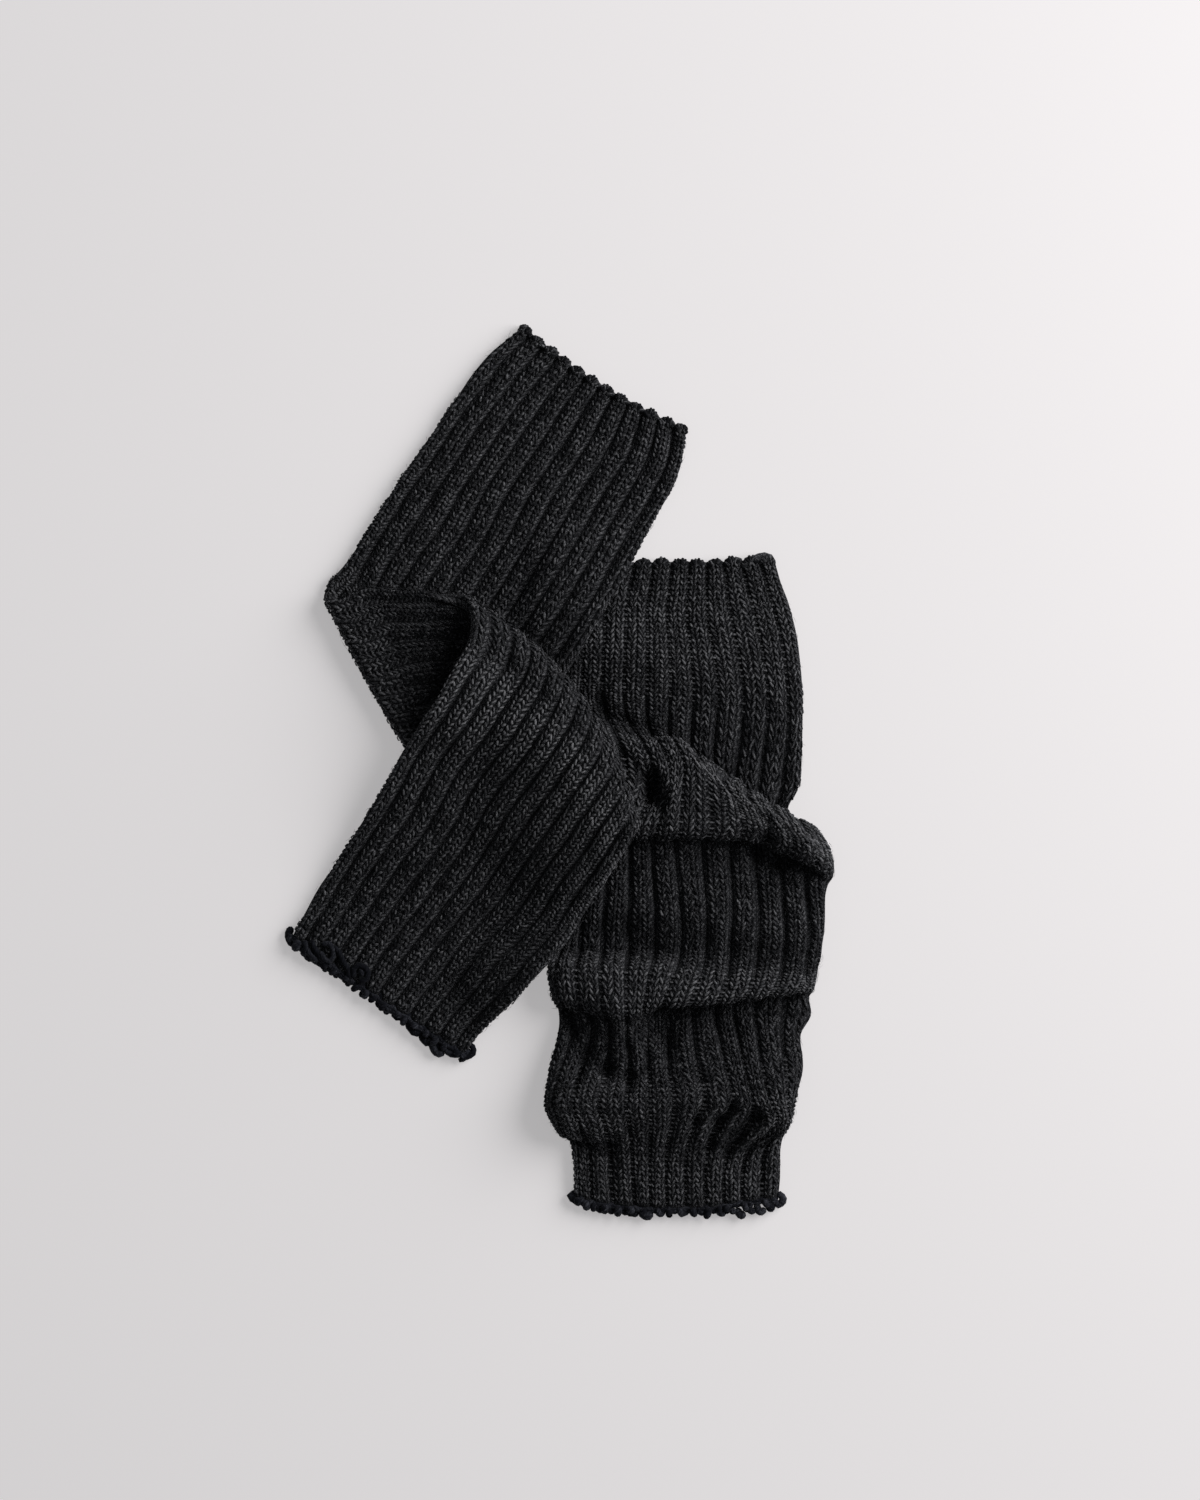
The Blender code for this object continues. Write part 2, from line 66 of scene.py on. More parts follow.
# How the folded leg warmer lies: a row for each section, from its p edge to its q edge. bow moves its middle
# forward. A row with a roll turns the tube over, round an axis that high above the row. A section with ride 1
# is lifted by all of the bunched tube that lies under it, and one with 0 only rests on what lies under it.
# painted_shading, in both tubes' tables, is painted light and shade on the stitches: lighter over the crest and
# the lit edge of the first turn, darker in the hollow beside the fold.
FOLDED_COLUMNS = (
    "name", "px", "py", "pz", "qx", "qy", "qz", "bow", "roll_p", "roll_q", "ride", "groove", "painted_shading",
)
FOLDED_ROWS = (
    ("top_hem", -22.7, 258, 3.2, 73.8, 197, 3.2, -5, 0, 0, 1, 1, 1),
    ("below_top", -43.5, 240, 3.2, 71.5, 178.5, 3.2, -3.5, 0, 0, 1, 1, 1),
    ("shin", -79.5, 190.5, 3.2, 47.5, 131, 3.2, 0, 0, 0, 1, 1, 0.97),
    ("calf", -105.8, 151.5, 3.2, 8.5, 62, 3.2, 0, 0, 0, 1, 1, 0.95),
    ("near_turn", -124.5, 121.8, 3.2, -29.5, 12, 3.2, -1, 0, 0, 1, 1, 0.9),
    ("first_turn", -131.8, 104.8, 3.2, -59.5, -22, 3.2, -2.5, 3.9, 3.9, 1, 0.45, 1.2),
    ("crossing", -110.5, 107, 11.3, -32, -29.5, 11.3, 2, 0, 0, 1, 1.15, 0.75),
    ("rising", -88, 107, 11.8, -0.5, -32, 11.5, 10, 0, 0, 1, 1.2, 0.6),
    ("second_turn", -62.5, 90.5, 12, 37.5, -35.5, 9, 18, 10.4, 6.6, 1, 1, 1),
    ("over_the_top", -61.5, 62, 38, 33, -54, 21, 17, 0, 0, 0.97, 1, 1.75),
    ("upper_slope", -72, 42, 35, 25.5, -66.5, 17, 14, 0, 0, 0.9, 1, 1.5),
    ("off_the_stack", -87.5, 19.5, 23.5, 15, -81.5, 11.5, 9, 0, 0, 0.75, 1, 1.12),
    ("lower_slope", -104.5, -11, 16.5, 2, -102.5, 7.5, 5, 0, 0, 0.5, 1, 1.05),
    ("landing", -122, -39, 9, -17.5, -124, 4.5, 2, 0, 0, 0.25, 1, 1),
    ("above_bottom", -138.5, -64, 4.2, -33, -140.5, 3.2, 0, 0, 0, 0, 1, 1),
    ("bottom_band", -149, -82, 3.2, -47.5, -155, 3.2, -0.5, 0, 0, 0, 1, 1),
    ("bottom_hem", -155.5, -94.5, 3.2, -54, -164.5, 3.2, -1.5, 0, 0, 0, 1, 1),
)
ROLL_STEPS = 16  # the rows that a turn is written out in
P_DRIFT = 0.95  # how far the cloth moves along a fold while it rolls over it, as a share of its way over
Q_DRIFT = 0.55
ALL_RIDE = 0.999  # a section with more ride than that is lifted by all of the bunched tube

# How the bunched leg warmer lies: a row for each section of its upper side, with the places x and y and the
# height z of every second groove between its ribs, from its left edge to its right. Where y turns back, the
# cloth rolls over itself. In both tubes' tables, groove is how deep the grooves are there, as a share of the
# usual depth, and painted_shading how light the stitches' wool is painted there: painted highlight on raised
# parts that face the light, painted shade in hollows, valleys and under folds.
STATIONS = 7  # the places in each of these rows
BUNCHED_ROWS = (
    # name, groove, painted_shading, seven x, seven y, seven z
    ("top_hem", 0.9, 1.05, (-1, 21, 43, 64, 84.5, 105, 124),
        (120.5, 120.5, 120.5, 120.5, 120.5, 121.5, 122.5), (6.6, 6.6, 6.6, 6.6, 6.6, 6.6, 6.6)),
    ("below_top", 0.75, 1.1, (-2, 17, 39.5, 62.5, 85, 108, 127.5),
        (107, 106.5, 106.5, 106.5, 107, 108.5, 110), (6.6, 7, 7, 7.2, 7.2, 7.2, 6.6)),
    ("upper_shin", 0.62, 1.2, (-2.5, 14.5, 37, 61, 85.5, 112, 132.5),
        (92, 92, 92, 92, 92.5, 94, 95.5), (7, 8.5, 9, 9.5, 9.5, 9, 7.2)),
    ("shin", 0.62, 1.2, (-3, 13.5, 36.5, 62.5, 89, 117, 138),
        (70, 70, 70, 70, 70, 70, 70), (8, 12, 13, 11.5, 11, 10.5, 8)),
    ("dip", 0.75, 1.05, (-4, 13, 37, 63.5, 91.5, 120, 140.5),
        (50, 50, 50, 48, 44, 40, 36), (8.5, 9, 9.5, 10, 10, 10, 8.5)),
    ("before_roll", 1, 0.85, (-3, 13, 39, 63, 89, 115, 139.5),
        (43, 40, 32, 24, 8, -9, -8), (8, 8, 9.5, 8, 7.5, 7.5, 7.5)),
    ("tucked_in", 1, 0.75, (-3, 13.5, 41.5, 64.5, 90, 112, 131),
        (38, 35, 27, 17, -8, -24, -30), (7.5, 7, 9, 7.5, 6.8, 7, 7)),
    ("tuck_end", 0.95, 0.8, (-2.5, 14, 43.5, 66, 94, 118, 138),
        (34, 31, 23.5, 14, -14, -32, -38), (8, 8.5, 11, 9.5, 9, 9, 8.5)),
    ("roll_face", 0.85, 1.15, (-2.5, 15, 45.5, 65.5, 96, 121, 148.5),
        (30, 27, 20, 17, 0, -17, -34), (10, 12, 14.5, 15, 15.5, 15.5, 13)),
    ("roll_top", 0.85, 1.3, (-2.5, 16, 48.5, 64.5, 93, 122, 152.5),
        (26, 22, 15, 20.5, -4.5, -19.5, -43), (12, 17, 20.5, 22.5, 24, 24, 21)),
    ("roll_back", 0.75, 1.3, (-2.5, 17, 55, 72, 103, 128, 156.5),
        (6, 2, -4, 2, -18, -29, -50), (12, 20, 25.5, 28, 29.5, 29.5, 23.5)),
    ("roll_brow", 0.65, 1.15, (-2.5, 16, 44, 71, 107, 136, 158.5),
        (-24, -28, -32, -32, -32.5, -43, -57), (11, 20.5, 25.5, 28.5, 29, 28.5, 22.5)),
    ("roll_lip", 0.6, 0.95, (-2.5, 15, 42, 69.5, 104, 133, 158),
        (-32, -36, -39, -39, -39.5, -50, -64), (9.5, 17.5, 20.5, 23.5, 23, 22, 19)),
    ("under_roll", 1.1, 0.75, (-2.5, 14, 40, 67, 99, 128.5, 155),
        (-33.5, -38, -41, -41, -40, -47, -65.5), (9, 13, 15, 15.5, 14, 11.5, 13.5)),
    ("plain_upper", 1.15, 0.8, (-3.5, 13, 39.5, 67, 98, 128, 153.5),
        (-48, -52, -53, -53, -54, -60, -74.5), (9, 13, 14, 14.5, 13.5, 12.5, 13.5)),
    ("plain_lower", 1.15, 0.95, (-5.5, 13, 40, 69, 98.5, 129, 153),
        (-76, -77, -78, -80, -82, -86, -92), (8.5, 11, 13.5, 16.5, 16.5, 16.5, 15.5)),
    ("valley_side", 1.15, 0.8, (-6, 13, 40, 70, 98.5, 129.5, 151.8),
        (-90, -91, -92, -92.5, -94, -97, -101), (7, 7.5, 8.5, 14.5, 17, 17, 15.5)),
    ("valley", 1.1, 0.7, (-7, 12.5, 40, 69.5, 98.5, 129, 151),
        (-100.5, -102, -103, -103, -103.5, -106, -108), (6.6, 6.6, 6.6, 11.5, 15.5, 16, 15)),
    ("second_rise", 0.9, 0.95, (-7.5, 11.5, 39.5, 68.5, 98, 128.5, 149.5),
        (-105.5, -106.5, -107.5, -109, -111, -112.5, -114), (14, 15, 16, 16.5, 18, 18, 16.5)),
    ("second_top", 0.8, 1.3, (-8, 10, 38.5, 65, 97, 127, 148.5),
        (-114, -114.5, -115.5, -117.5, -119.5, -120, -119), (22, 27, 27.5, 27, 25.5, 24, 21)),
    ("second_brow", 0.7, 1.3, (-6.5, 11, 38.5, 60.5, 94, 124, 147.5),
        (-128, -129, -130.5, -131, -129, -126.5, -122.5), (19.5, 25.5, 28, 28.5, 26.5, 24.5, 20.5)),
    ("second_lip", 0.7, 1, (-3, 14, 38.5, 58, 90.5, 120, 146),
        (-136, -139, -141, -137.5, -134.5, -131, -126), (13, 20, 23.5, 22.5, 20.5, 18.5, 16)),
    ("under_second", 1.1, 0.7, (-1.5, 17, 39, 61, 90, 114, 144),
        (-133.5, -141, -145, -136, -131.5, -128.5, -124.5), (8.5, 18.5, 19.5, 9.5, 8.5, 9, 10.5)),
    ("gap", 1.1, 0.75, (-1, 19, 39, 62, 90, 112.5, 145.5),
        (-141, -148, -152, -145, -141, -138, -137), (9, 17.5, 18.5, 8.5, 9, 9.5, 10.5)),
    ("puff_upper", 1, 0.8, (-2.5, 18, 39.5, 62, 92, 114.5, 139),
        (-152, -156, -160, -156, -153, -151, -152), (13, 17.5, 17.5, 12.5, 13.5, 14, 14)),
    ("puff_middle", 0.8, 0.85, (-7.5, 11, 40, 62.5, 96, 117, 140.5),
        (-173.5, -173, -173, -172, -170, -168.5, -167.5), (19.5, 18.5, 17.5, 19, 21, 21, 18)),
    ("puff_top", 0.6, 1, (-9.5, 6, 37, 65.5, 100, 121.5, 136.5),
        (-191, -191, -191, -191, -190.5, -189.5, -188), (23, 27, 28, 27.5, 27, 25, 20.5)),
    ("puff_brow", 0.7, 1.15, (-5.5, 11, 39.5, 65, 93, 125.5, 134.5),
        (-202, -204, -204.5, -203.5, -202, -201, -198.5), (20, 24, 21, 18.5, 18.5, 21, 17.5)),
    ("puff_lip", 0.8, 1, (-0.5, 14.5, 41, 63.5, 87.5, 119, 131),
        (-210, -212.5, -213, -214, -213, -211, -207), (13, 16, 14.5, 12.8, 12.8, 15, 13)),
    ("under_puff", 0.8, 0.85, (5.5, 17, 41.5, 62.5, 85.5, 110.5, 128.5),
        (-210.5, -216, -219, -221, -219, -217, -211), (8, 9.5, 11, 10.6, 10.2, 10.6, 9)),
    ("cuff_upper", 0.78, 1.1, (7, 17.5, 42, 62, 84.5, 106, 127.5),
        (-219.5, -224, -226.5, -228, -227, -225, -220), (7.5, 8.3, 9.4, 9.2, 9, 8.6, 7.5)),
    ("cuff_lower", 0.78, 1.15, (7.5, 17.5, 42, 62, 84, 104.5, 127.5),
        (-232, -235, -237, -239, -238, -236, -232), (7.5, 8, 8, 8.4, 8.2, 8, 7.5)),
    ("bottom_hem", 0.75, 1.1, (8, 18, 42.5, 62, 84, 104.5, 126.5),
        (-245.5, -249, -252, -253, -252.5, -249.5, -246.5), (6.6, 6.6, 6.6, 6.6, 6.6, 6.6, 6.6)),
)
BUNCHED_TOP_RIBS = 12
SIDE_CORNER = 1 / 6  # the share of its underside that each rounded side takes
SIDE_LEAN = 2.5  # the side of a fold that hangs over keeps to the underside until near its top
SLIT_INSET = 0.55  # how far the slit keeps in from a tall side, as a share of the side's extra radius
INSET_REACH = 7  # and as far as it does in that many rows on both sides
FLOOR_FOLLOWS = 0.85  # how much the underside follows the upper side along the table, beside going on evenly
FLOOR_SMOOTHED = 30

# Dents and swells of the bunched upper side, from one end to the other, where it stands high enough
DENT_FROM = 5.0
DENT_EASE = 3.0  # over that much more height a dent comes to its whole depth
LOWEST_DENT = 5.4
DENT_COLUMNS = ("name", "x1", "y1", "x2", "y2", "spread", "height")
DENT_ROWS = (
    ("dip_beside_the_fold", 18, 42, 46, 4, 5, -4),
    ("hole_by_the_roll", 52.5, -5, 54.5, -15, 3.4, -16),
    ("fold_beside_the_top_edge", 27, 26, 49, 6, 4.5, 5),
    ("crease_over_the_fold", 34, 31, 50, 26, 2.4, -3),
    ("rib_over_the_hole", 55, 12, 64, -12, 3.6, 2.5),
    ("rib_right_of_the_hole", 64, -12, 63, -30, 3.6, 1.5),
    ("notch_of_the_roll", 121, -30, 119, -38, 2.2, -3.5),
    ("notch_goes_on", 119, -38, 113, -47, 2.4, -4.5),
    ("pit_under_the_roll_end", 116, -52, 127, -55, 4, -5),
    ("lobe_of_the_roll_end", 135, -36, 147, -46, 5, 2.5),
    ("lobe_below_it", 138, -63, 150, -66, 6, 3),
    ("corner_of_the_valley", 6, -98, 46, -102, 5, -2),
    ("small_pits_at_the_left", 2, -136.5, 12, -136, 2.2, -5),
    ("bridge_to_the_puff", 32, -134, 34, -160, 7, 5),
    ("trough_beside_bridge", 59, -141, 61, -160, 5, -7),
    ("trough_left_of_bridge", 4, -142, 11, -160, 3.5, -4),
    ("foot_of_the_bridge", 24, -174, 39, -178, 3, -4.5),
    ("bent_crease_of_the_puff", 18.5, -152, 9, -180, 2.4, -3.5),
    ("second_crease_of_the_puff", 28.5, -152, 27.5, -182, 2.4, -3),
    ("third_crease_of_the_puff", 39.5, -162, 40, -180, 3, -4),
    ("fourth_crease_of_the_puff", 50, -150, 50.5, -176, 2.4, -2.5),
    ("crease_by_the_puff", 67, -194, 63.5, -217, 2.2, -3),
    ("crease_beside_it", 83.5, -190, 78, -203, 2.2, -3.5),
    ("crease_goes_on", 78, -203, 75, -218, 2.2, -3),
    ("bent_crease", 100, -194, 91, -202, 2.4, -7.5),
    ("bent_crease_goes_on", 91, -202, 86, -219, 2.2, -5.5),
    ("slanting_crease", 115, -199, 101, -211, 3, -10),
    ("slanting_crease_goes_on", 101, -211, 96, -222, 2.4, -4),
    ("fold_between_creases", 121, -202, 104, -215, 2.6, 3.5),
    ("lower_slanting_crease", 127, -208, 110, -218, 2.2, -6.5),
    ("lower_crease_goes_on", 110, -218, 104, -228, 2.2, -3),
    ("groove_of_the_cuff", 30, -213, 30, -246, 2.6, -3),
    ("groove_at_the_left", 15, -216, 14.5, -242, 2.6, -2),
    ("groove_at_the_right", 117, -217, 116, -242, 2.2, -3),
    ("soft_lump_by_the_turn", 28, 76, 52, 66, 10, 3),
)

# The height of the cloth below, held on a grid of cells and softened, carries the folded tube
CELL = 4.0
GROW = 1  # cells that the high places grow by
STEEPEST = 0.42  # how steeply the cloth on top comes down beside them
SOFTEN = 3
MARGIN = 12  # cells round about
ROW_SPLITS = 8  # rows between the rows of points, and points between those points, that are held on the grid
POINT_SPLITS = 4
CLEAR = 0.8
TOUCH = 3.0  # over this height the folded tube eases from following what lies under it to resting on it
EDGING_REACH = 4.2

# The fine form of the knit
LAY_SPACING = 3.0  # between the sections that a tube's lie is worked out at
LAY_COLUMNS = 6  # of those sections' points for each rib
RIB_COLUMNS = 12
CLOTH_STEP = 2.3
UNDERSIDE_COLUMNS = 24
PLAIN_STEP = 3  # the plain inner layer has one point for that many of the lie's, along it and round it
RIB_PITCH = 11.0
RIB_RISE = 0.6  # how far a rib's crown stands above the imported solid
ARCH = 2.8  # the power of the arch across a rib: low for wide grooves, high for narrow ones
WALE_GAP = (0.7, 0.2)  # half the width and the depth of the small gap between a rib's two wales
SWAY = 0.05  # how far the ribs wander, as a share of their pitch
SWAY_LENGTH = 70.0
UNEVEN_LENGTH = 38.0  # of the swells that make some grooves deeper and narrower than others
UNEVEN_ASIDE = 3  # grooves side by side differ as if they were that many ribs apart
UNEVEN_DEPTH = 0.25
UNEVEN_ARCH = 0.6
MOST_UNEVEN = 1.2
RIB_FROM = 0.5  # above that height over the table the ribs begin to stand out
RIB_EASE = 2.0
NEARBY_RIBS = 0.03  # the slope of the ribs is taken from that far to both sides, and from that far along
NEARBY = 1.0
WALE_SHARES = (0.305, 0.695)  # where the two knit wales of a rib lie, across it
PAINTED_SHADING_TONE = 1.3  # how much lighter or darker the stitches' wool is painted by painted_shading: painted highlight and painted shade
SHALLOW = 0.82  # grooves less deep than that share of the usual depth show their purl bumps
BACKING = 0.45  # the plain cloth lies that far under the stitches
FLOOR_CLEAR = 0.05

# The yarn of a stitch's leg and of a purl bump, through four points. aside is from the middle of the wale
# or, in a purl bump and as a share of a rib, of the groove. ahead is along it, in a leg as a share of a course,
# and lift is out of the cloth. wide and tall are half the yarn's size. loose is how far one leg or bump may
# differ from the next: its reach and its place aside, its reach and its place ahead, its lift and its size.
YARN_COLUMNS = ("aside", "ahead", "lift", "wide", "tall")
LEG_ROWS = (
    (0.1, 0.56, -0.5, 0.0, 0.0),
    (0.7, 0.25, 0.25, 0.72, 0.66),
    (1.55, -0.22, 0.2, 0.68, 0.62),
    (2.05, -0.52, -0.6, 0.0, 0.0),
)
LEG_LOOSE = {"aside": 0.2, "place": 0.38, "ahead": 0.25, "row": 0.45, "lift": 0.3, "size": 0.2}
LEG_SINK = 0.35  # on a steep side of the cloth a leg lies deeper by that much, and is flatter by that share
LEG_FLATTER = 0.4
LEG_SPREAD = 0.35  # the legs spread towards a shallow groove by that share
DRAWN_IN = -0.2  # and draw in a little at a deep one
PURL_ROWS = (
    (-0.13, -0.2, -0.9, 0.0, 0.0),
    (-0.06, 0.15, 0.15, 0.62, 0.62),
    (0.06, 0.15, 0.15, 0.62, 0.62),
    (0.13, -0.2, -0.9, 0.0, 0.0),
)
PURL_LOOSE = {"aside": 0.2, "row": 0.3, "lift": 0.2}
TURNED_AWAY = -0.35  # cloth whose outward direction points further down than that shows no stitches
LOW_DOWN = 1.5  # nor does cloth lower than that over the table
COVER = 3.0  # nor cloth with another piece that close over it
COVER_FROM = 0.6

# The edging yarn lies off the hems in short lengths, each through a few places: how far those are round the
# tube in ribs, how far ahead of its end, and how far they lift out of the cloth. half is half the yarn's
# thickness, and loose how far one length may differ from the next.
BEFORE_HEM = 4.0  # from that far before the end to the end is the way ahead
CORD_RINGS = 11
CORD_SAMPLES = 10  # for each of its points
CORD_FLAT = 0.95
CORD_LUMPS = 0.08
TIP = 0.3  # the share of a length that one of its tips takes at most
TIP_RING = 0.3  # the place of the ring in a tip, and half the yarn's thickness there, as shares
TIP_HALF = 0.7
SCALLOP_TALL = (2.7, 3.8)
SCALLOP_CORNER = 1.1  # how much taller the scallops beside the tube's folded sides are
SCALLOP_BLUNT = 0.7  # the power of a scallop's round
ARC_POINTS = 7
ARC_RIBS = 0.4
ARC_START = -2.0
ARC_LIFT = -1.2
ARC_HALF = 1.25
FAN_COUNT = 6  # the lengths over an arc, turned from its one side to its other
FAN_FROM, FAN_TO = 0.12, 0.88
FAN_RIBS = 0.46
FAN_START = -2.6
FAN_TALLER = 1.9
FAN_REACH = (0.3, 0.62, 0.92, 1.0)
FAN_LIFT = (0.2, 0.5, -0.1, -1.2)
FAN_HALF = (0.75, 1.0)
FAN_LOOSE = {"middle": 0.05, "turn": 0.12, "reach": 0.08, "lift": 0.2}
ROPE_RIBS = (-0.25, 0.3, 0.75, 1.25)
ROPE_AHEAD = (-0.5, 0.5, 0.6, -0.4)
ROPE_LIFT = (-1.6, -1.1, -1.1, -1.6)
ROPE_LOOSE = (-0.3, 0.5)
ROPES = {"top": ((1.2, -0.9),), "bottom": ((1.35, 0.3), (1.15, 1.5))}  # half the thickness of each, and ahead
KNOBS, KNOBS_ON = 3, 2  # so many knobs on so many ribs
KNOB_RIBS = (0.0, 0.6, 1.2, 0.9)
KNOB_AHEAD = (0.0, 0.65, 1.0, 0.75)
KNOB_LIFT = (-1.0, -0.6, -1.2, -2.0)
KNOB_LEAN = 0.16
KNOB_LONG = (3.2, 5.6)
KNOB_HALF = (1.7, 2.5)
KNOB_LOOSE = {"rib": 0.3, "lift": 0.8}

# The loose fibres: how many places are tried and how many fibres are kept on each tube
FIBRE_TRIES = 9000
FIBRES = 3600
FIBRE_TURNED_AWAY = -0.5
FIBRE_SHARES = (0.0, 0.35, 0.7, 1.0)  # the places along a fibre
FIBRE_HALF = (0.0, 0.075, 0.06, 0.0)  # and half its thickness there
FIBRE_UNEVEN = (0.7, 1.3)
FIBRE_LONG = (0.5, 1.3)
FIBRE_BEND = 0.5
FIBRE_STAND = (0.05, 0.3)  # how steeply it stands off
FIBRE_RISE = 0.5  # where it begins over the cloth
FIBRE_BACK = 0.3  # the share of it that lies behind its place
FIBRE_ARCH = 1.3

# The studio, in metres
TABLE_HALF = 4.0
KEY_PLACE = (1.98, 0.9, 1.2)
KEY_SIZE = 2.3
KEY_COLOUR = (1.0, 0.98, 0.975)
FILL_COLOUR = (0.97, 0.98, 1.0)
LENS = 180.0  # millimetres
FRAME_MIDDLE = (0.0229, 0.0122)


def table(rows, columns):
    """The numbers of a table as a dictionary of columns."""
    return {name: np.array([row[k] for row in rows]) for k, name in enumerate(columns)}


def unit(vectors):
    """Vectors of length 1 along the last axis."""
    return vectors / np.maximum(np.linalg.norm(vectors, axis=-1, keepdims=True), 1e-9)


def heading(points):
    """The direction along the rows at each point, halfway between the ways to it and from it."""
    ways = unit(np.diff(points, axis=0))
    return unit(np.concatenate([ways[:1], ways]) + np.concatenate([ways, ways[-1:]]))


def even_slopes(rows, place):
    """The slope of each column at each row, such that a curve through the rows never overshoots them."""
    steps = np.diff(place)[:, None]
    secants = np.diff(rows, axis=0) / steps
    before, after = secants[:-1], secants[1:]
    wide_before, wide_after = steps[:-1] + 2 * steps[1:], 2 * steps[:-1] + steps[1:]
    same_way = before * after > 0
    safe_before, safe_after = np.where(same_way, before, 1), np.where(same_way, after, 1)
    mean = (wide_before + wide_after) / (wide_after / safe_before + wide_before / safe_after)
    slopes = np.zeros(rows.shape)
    slopes[1:-1] = np.where(same_way, mean, 0)
    slopes[0], slopes[-1] = secants[0], secants[-1]
    return slopes


def curve(start, end, leave, reach, share):
    """A place that share of the way along a smooth curve, which leaves and reaches its ends at two slopes."""
    later = share * share * (3 - 2 * share)
    pull = leave * share * (1 - share) ** 2 + reach * share * share * (share - 1)
    return start * (1 - later) + end * later + pull


def resample(rows, lines, spacing):
    """More rows, on a smooth curve through the given ones, where two lie further apart than the spacing.

    lines are the lines, a point for each row, along which they are measured.
    """
    steps = np.max([np.linalg.norm(np.diff(line, axis=0), axis=1) for line in lines], axis=0)
    place = np.concatenate([[0], np.cumsum(steps)])
    slope = even_slopes(rows, place)
    made = []
    for k, step in enumerate(steps):
        pieces = max(1, round(step / spacing))
        for share in np.arange(pieces) / pieces:
            made.append(curve(rows[k], rows[k + 1], slope[k] * step, slope[k + 1] * step, share))
    made.append(rows[-1])
    return np.array(made)


def between(grid, i, j, down, aside):
    """A grid's value in the cell from row i and point j on, that share of the way down and aside in it."""
    after = (j + 1) % grid.shape[1]
    near = grid[i, j] * (1 - aside) + grid[i, after] * aside
    far = grid[i + 1, j] * (1 - aside) + grid[i + 1, after] * aside
    return near * (1 - down) + far * down


class Waves:
    """A soft, uneven swell over a surface: a sum of a few waves that run every which way."""

    def __init__(self, seed, length, count=7, lengths=(0.6, 1.7)):
        rng = np.random.default_rng(seed)
        angle = rng.uniform(0, math.tau, count)
        wide = length * rng.uniform(*lengths, count)
        self.across = np.cos(angle) * math.tau / wide
        self.along = np.sin(angle) * math.tau / wide
        self.start = rng.uniform(0, math.tau, count)
        self.scale = 1 / math.sqrt(count / 2)

    def __call__(self, across, along):
        """Its height, from about -1.5 to 1.5, at a place in millimetres across and along."""
        across, along = np.asarray(across)[..., None], np.asarray(along)[..., None]
        return np.sin(across * self.across + along * self.along + self.start).sum(-1) * self.scale


class Skin:
    """A tube's smooth outer surface. A place on it is how many ribs round and how many millimetres along."""

    def __init__(self, points, outs, inner, looks, first_rib, last_rib):
        self.points, self.outs, self.inner = points, outs, inner
        # painted light and shade along each tube, which the stitches' tone takes up
        self.grooves, self.painted_shadings = looks.T
        self.first_rib, self.last_rib = first_rib, last_rib
        seen = points[:, first_rib * LAY_COLUMNS : last_rib * LAY_COLUMNS]
        steps = np.linalg.norm(np.diff(seen, axis=0), axis=-1)
        self.places = np.concatenate([[0], np.cumsum(steps.mean(1))])
        self.length = self.places[-1]
        self.sway = Waves(len(points), SWAY_LENGTH)
        self.depth = Waves(len(points) + 1, UNEVEN_LENGTH)

    def read(self, grid, ribs, along):
        """A grid's value at a place, between its rows and its points."""
        row = np.interp(along, self.places, np.arange(len(self.places)))
        i = np.minimum(row.astype(int), len(self.places) - 2)
        down = (row - i)[..., None]
        column = np.asarray(ribs) * LAY_COLUMNS
        j = np.floor(column).astype(int)
        aside = (column - j)[..., None]
        return between(grid, i, j % grid.shape[1], down, aside)

    def at(self, ribs, along):
        """The surface point at a place, and the direction out of the cloth there. The ribs sway a little."""
        ribs, along = np.broadcast_arrays(ribs, along)
        swayed = ribs + SWAY * self.sway(ribs * RIB_PITCH, along)
        return self.read(self.points, swayed, along), unit(self.read(self.outs, swayed, along))

    def ribbed(self, ribs, along, groove):
        """The point at a place with the ribs raised, for grooves about that deep, and the direction out."""
        ribs, along = np.broadcast_arrays(ribs, along)
        point, out = self.at(ribs, along)
        deeper = self.depth(np.floor(ribs + 0.5) * RIB_PITCH * UNEVEN_ASIDE, along)
        deeper = np.clip(deeper, -MOST_UNEVEN, MOST_UNEVEN)
        usual = groove * np.interp(along, self.places, self.grooves)
        height = rib_form(ribs % 1, usual * (1 + UNEVEN_DEPTH * deeper), ARCH - UNEVEN_ARCH * deeper)
        height *= np.clip((point[..., 2] - RIB_FROM) / RIB_EASE, 0, 1)
        return point + out * height[..., None], out

    def leaning(self, ribs, along, groove):
        """The point at a place with the ribs raised, and the direction straight out of the ribs' slopes."""
        point, out = self.ribbed(ribs, along, groove)
        low, high = np.clip(along - NEARBY, 0, self.length), np.clip(along + NEARBY, 0, self.length)
        places = ((ribs - NEARBY_RIBS, along), (ribs + NEARBY_RIBS, along), (ribs, low), (ribs, high))
        left, right, back, front = [self.ribbed(*place, groove)[0] for place in places]
        normal = unit(np.cross(right - left, front - back))
        normal *= np.where((normal * out).sum(-1) < 0, -1, 1)[..., None]
        return point, normal


def rib_form(share, depth, arch):
    """How high the cloth stands across a rib: an arch over its two wales, between grooves that deep."""
    aside = np.abs(2 * share - 1)
    between = np.exp(-((aside * RIB_PITCH / 2 / WALE_GAP[0]) ** 2))
    return RIB_RISE - depth * aside**arch - WALE_GAP[1] * between


def ring_positions(width, half, run):
    """Where points lie round a flat tube: the centre of each along the width, and its direction."""
    quarter = math.pi * half / 2
    flat = width - 2 * half
    side = run < 0.5
    along = np.where(side, run, 1 - run) * 2 * (2 * quarter + flat)
    angle = np.where(along < quarter, along / half, math.pi / 2)
    angle = np.where(along > quarter + flat, math.pi / 2 + (along - quarter - flat) / half, angle)
    centre = half + np.clip(along - quarter, 0, flat)
    return centre, -np.cos(angle), np.where(side, 1, -1) * np.sin(angle)


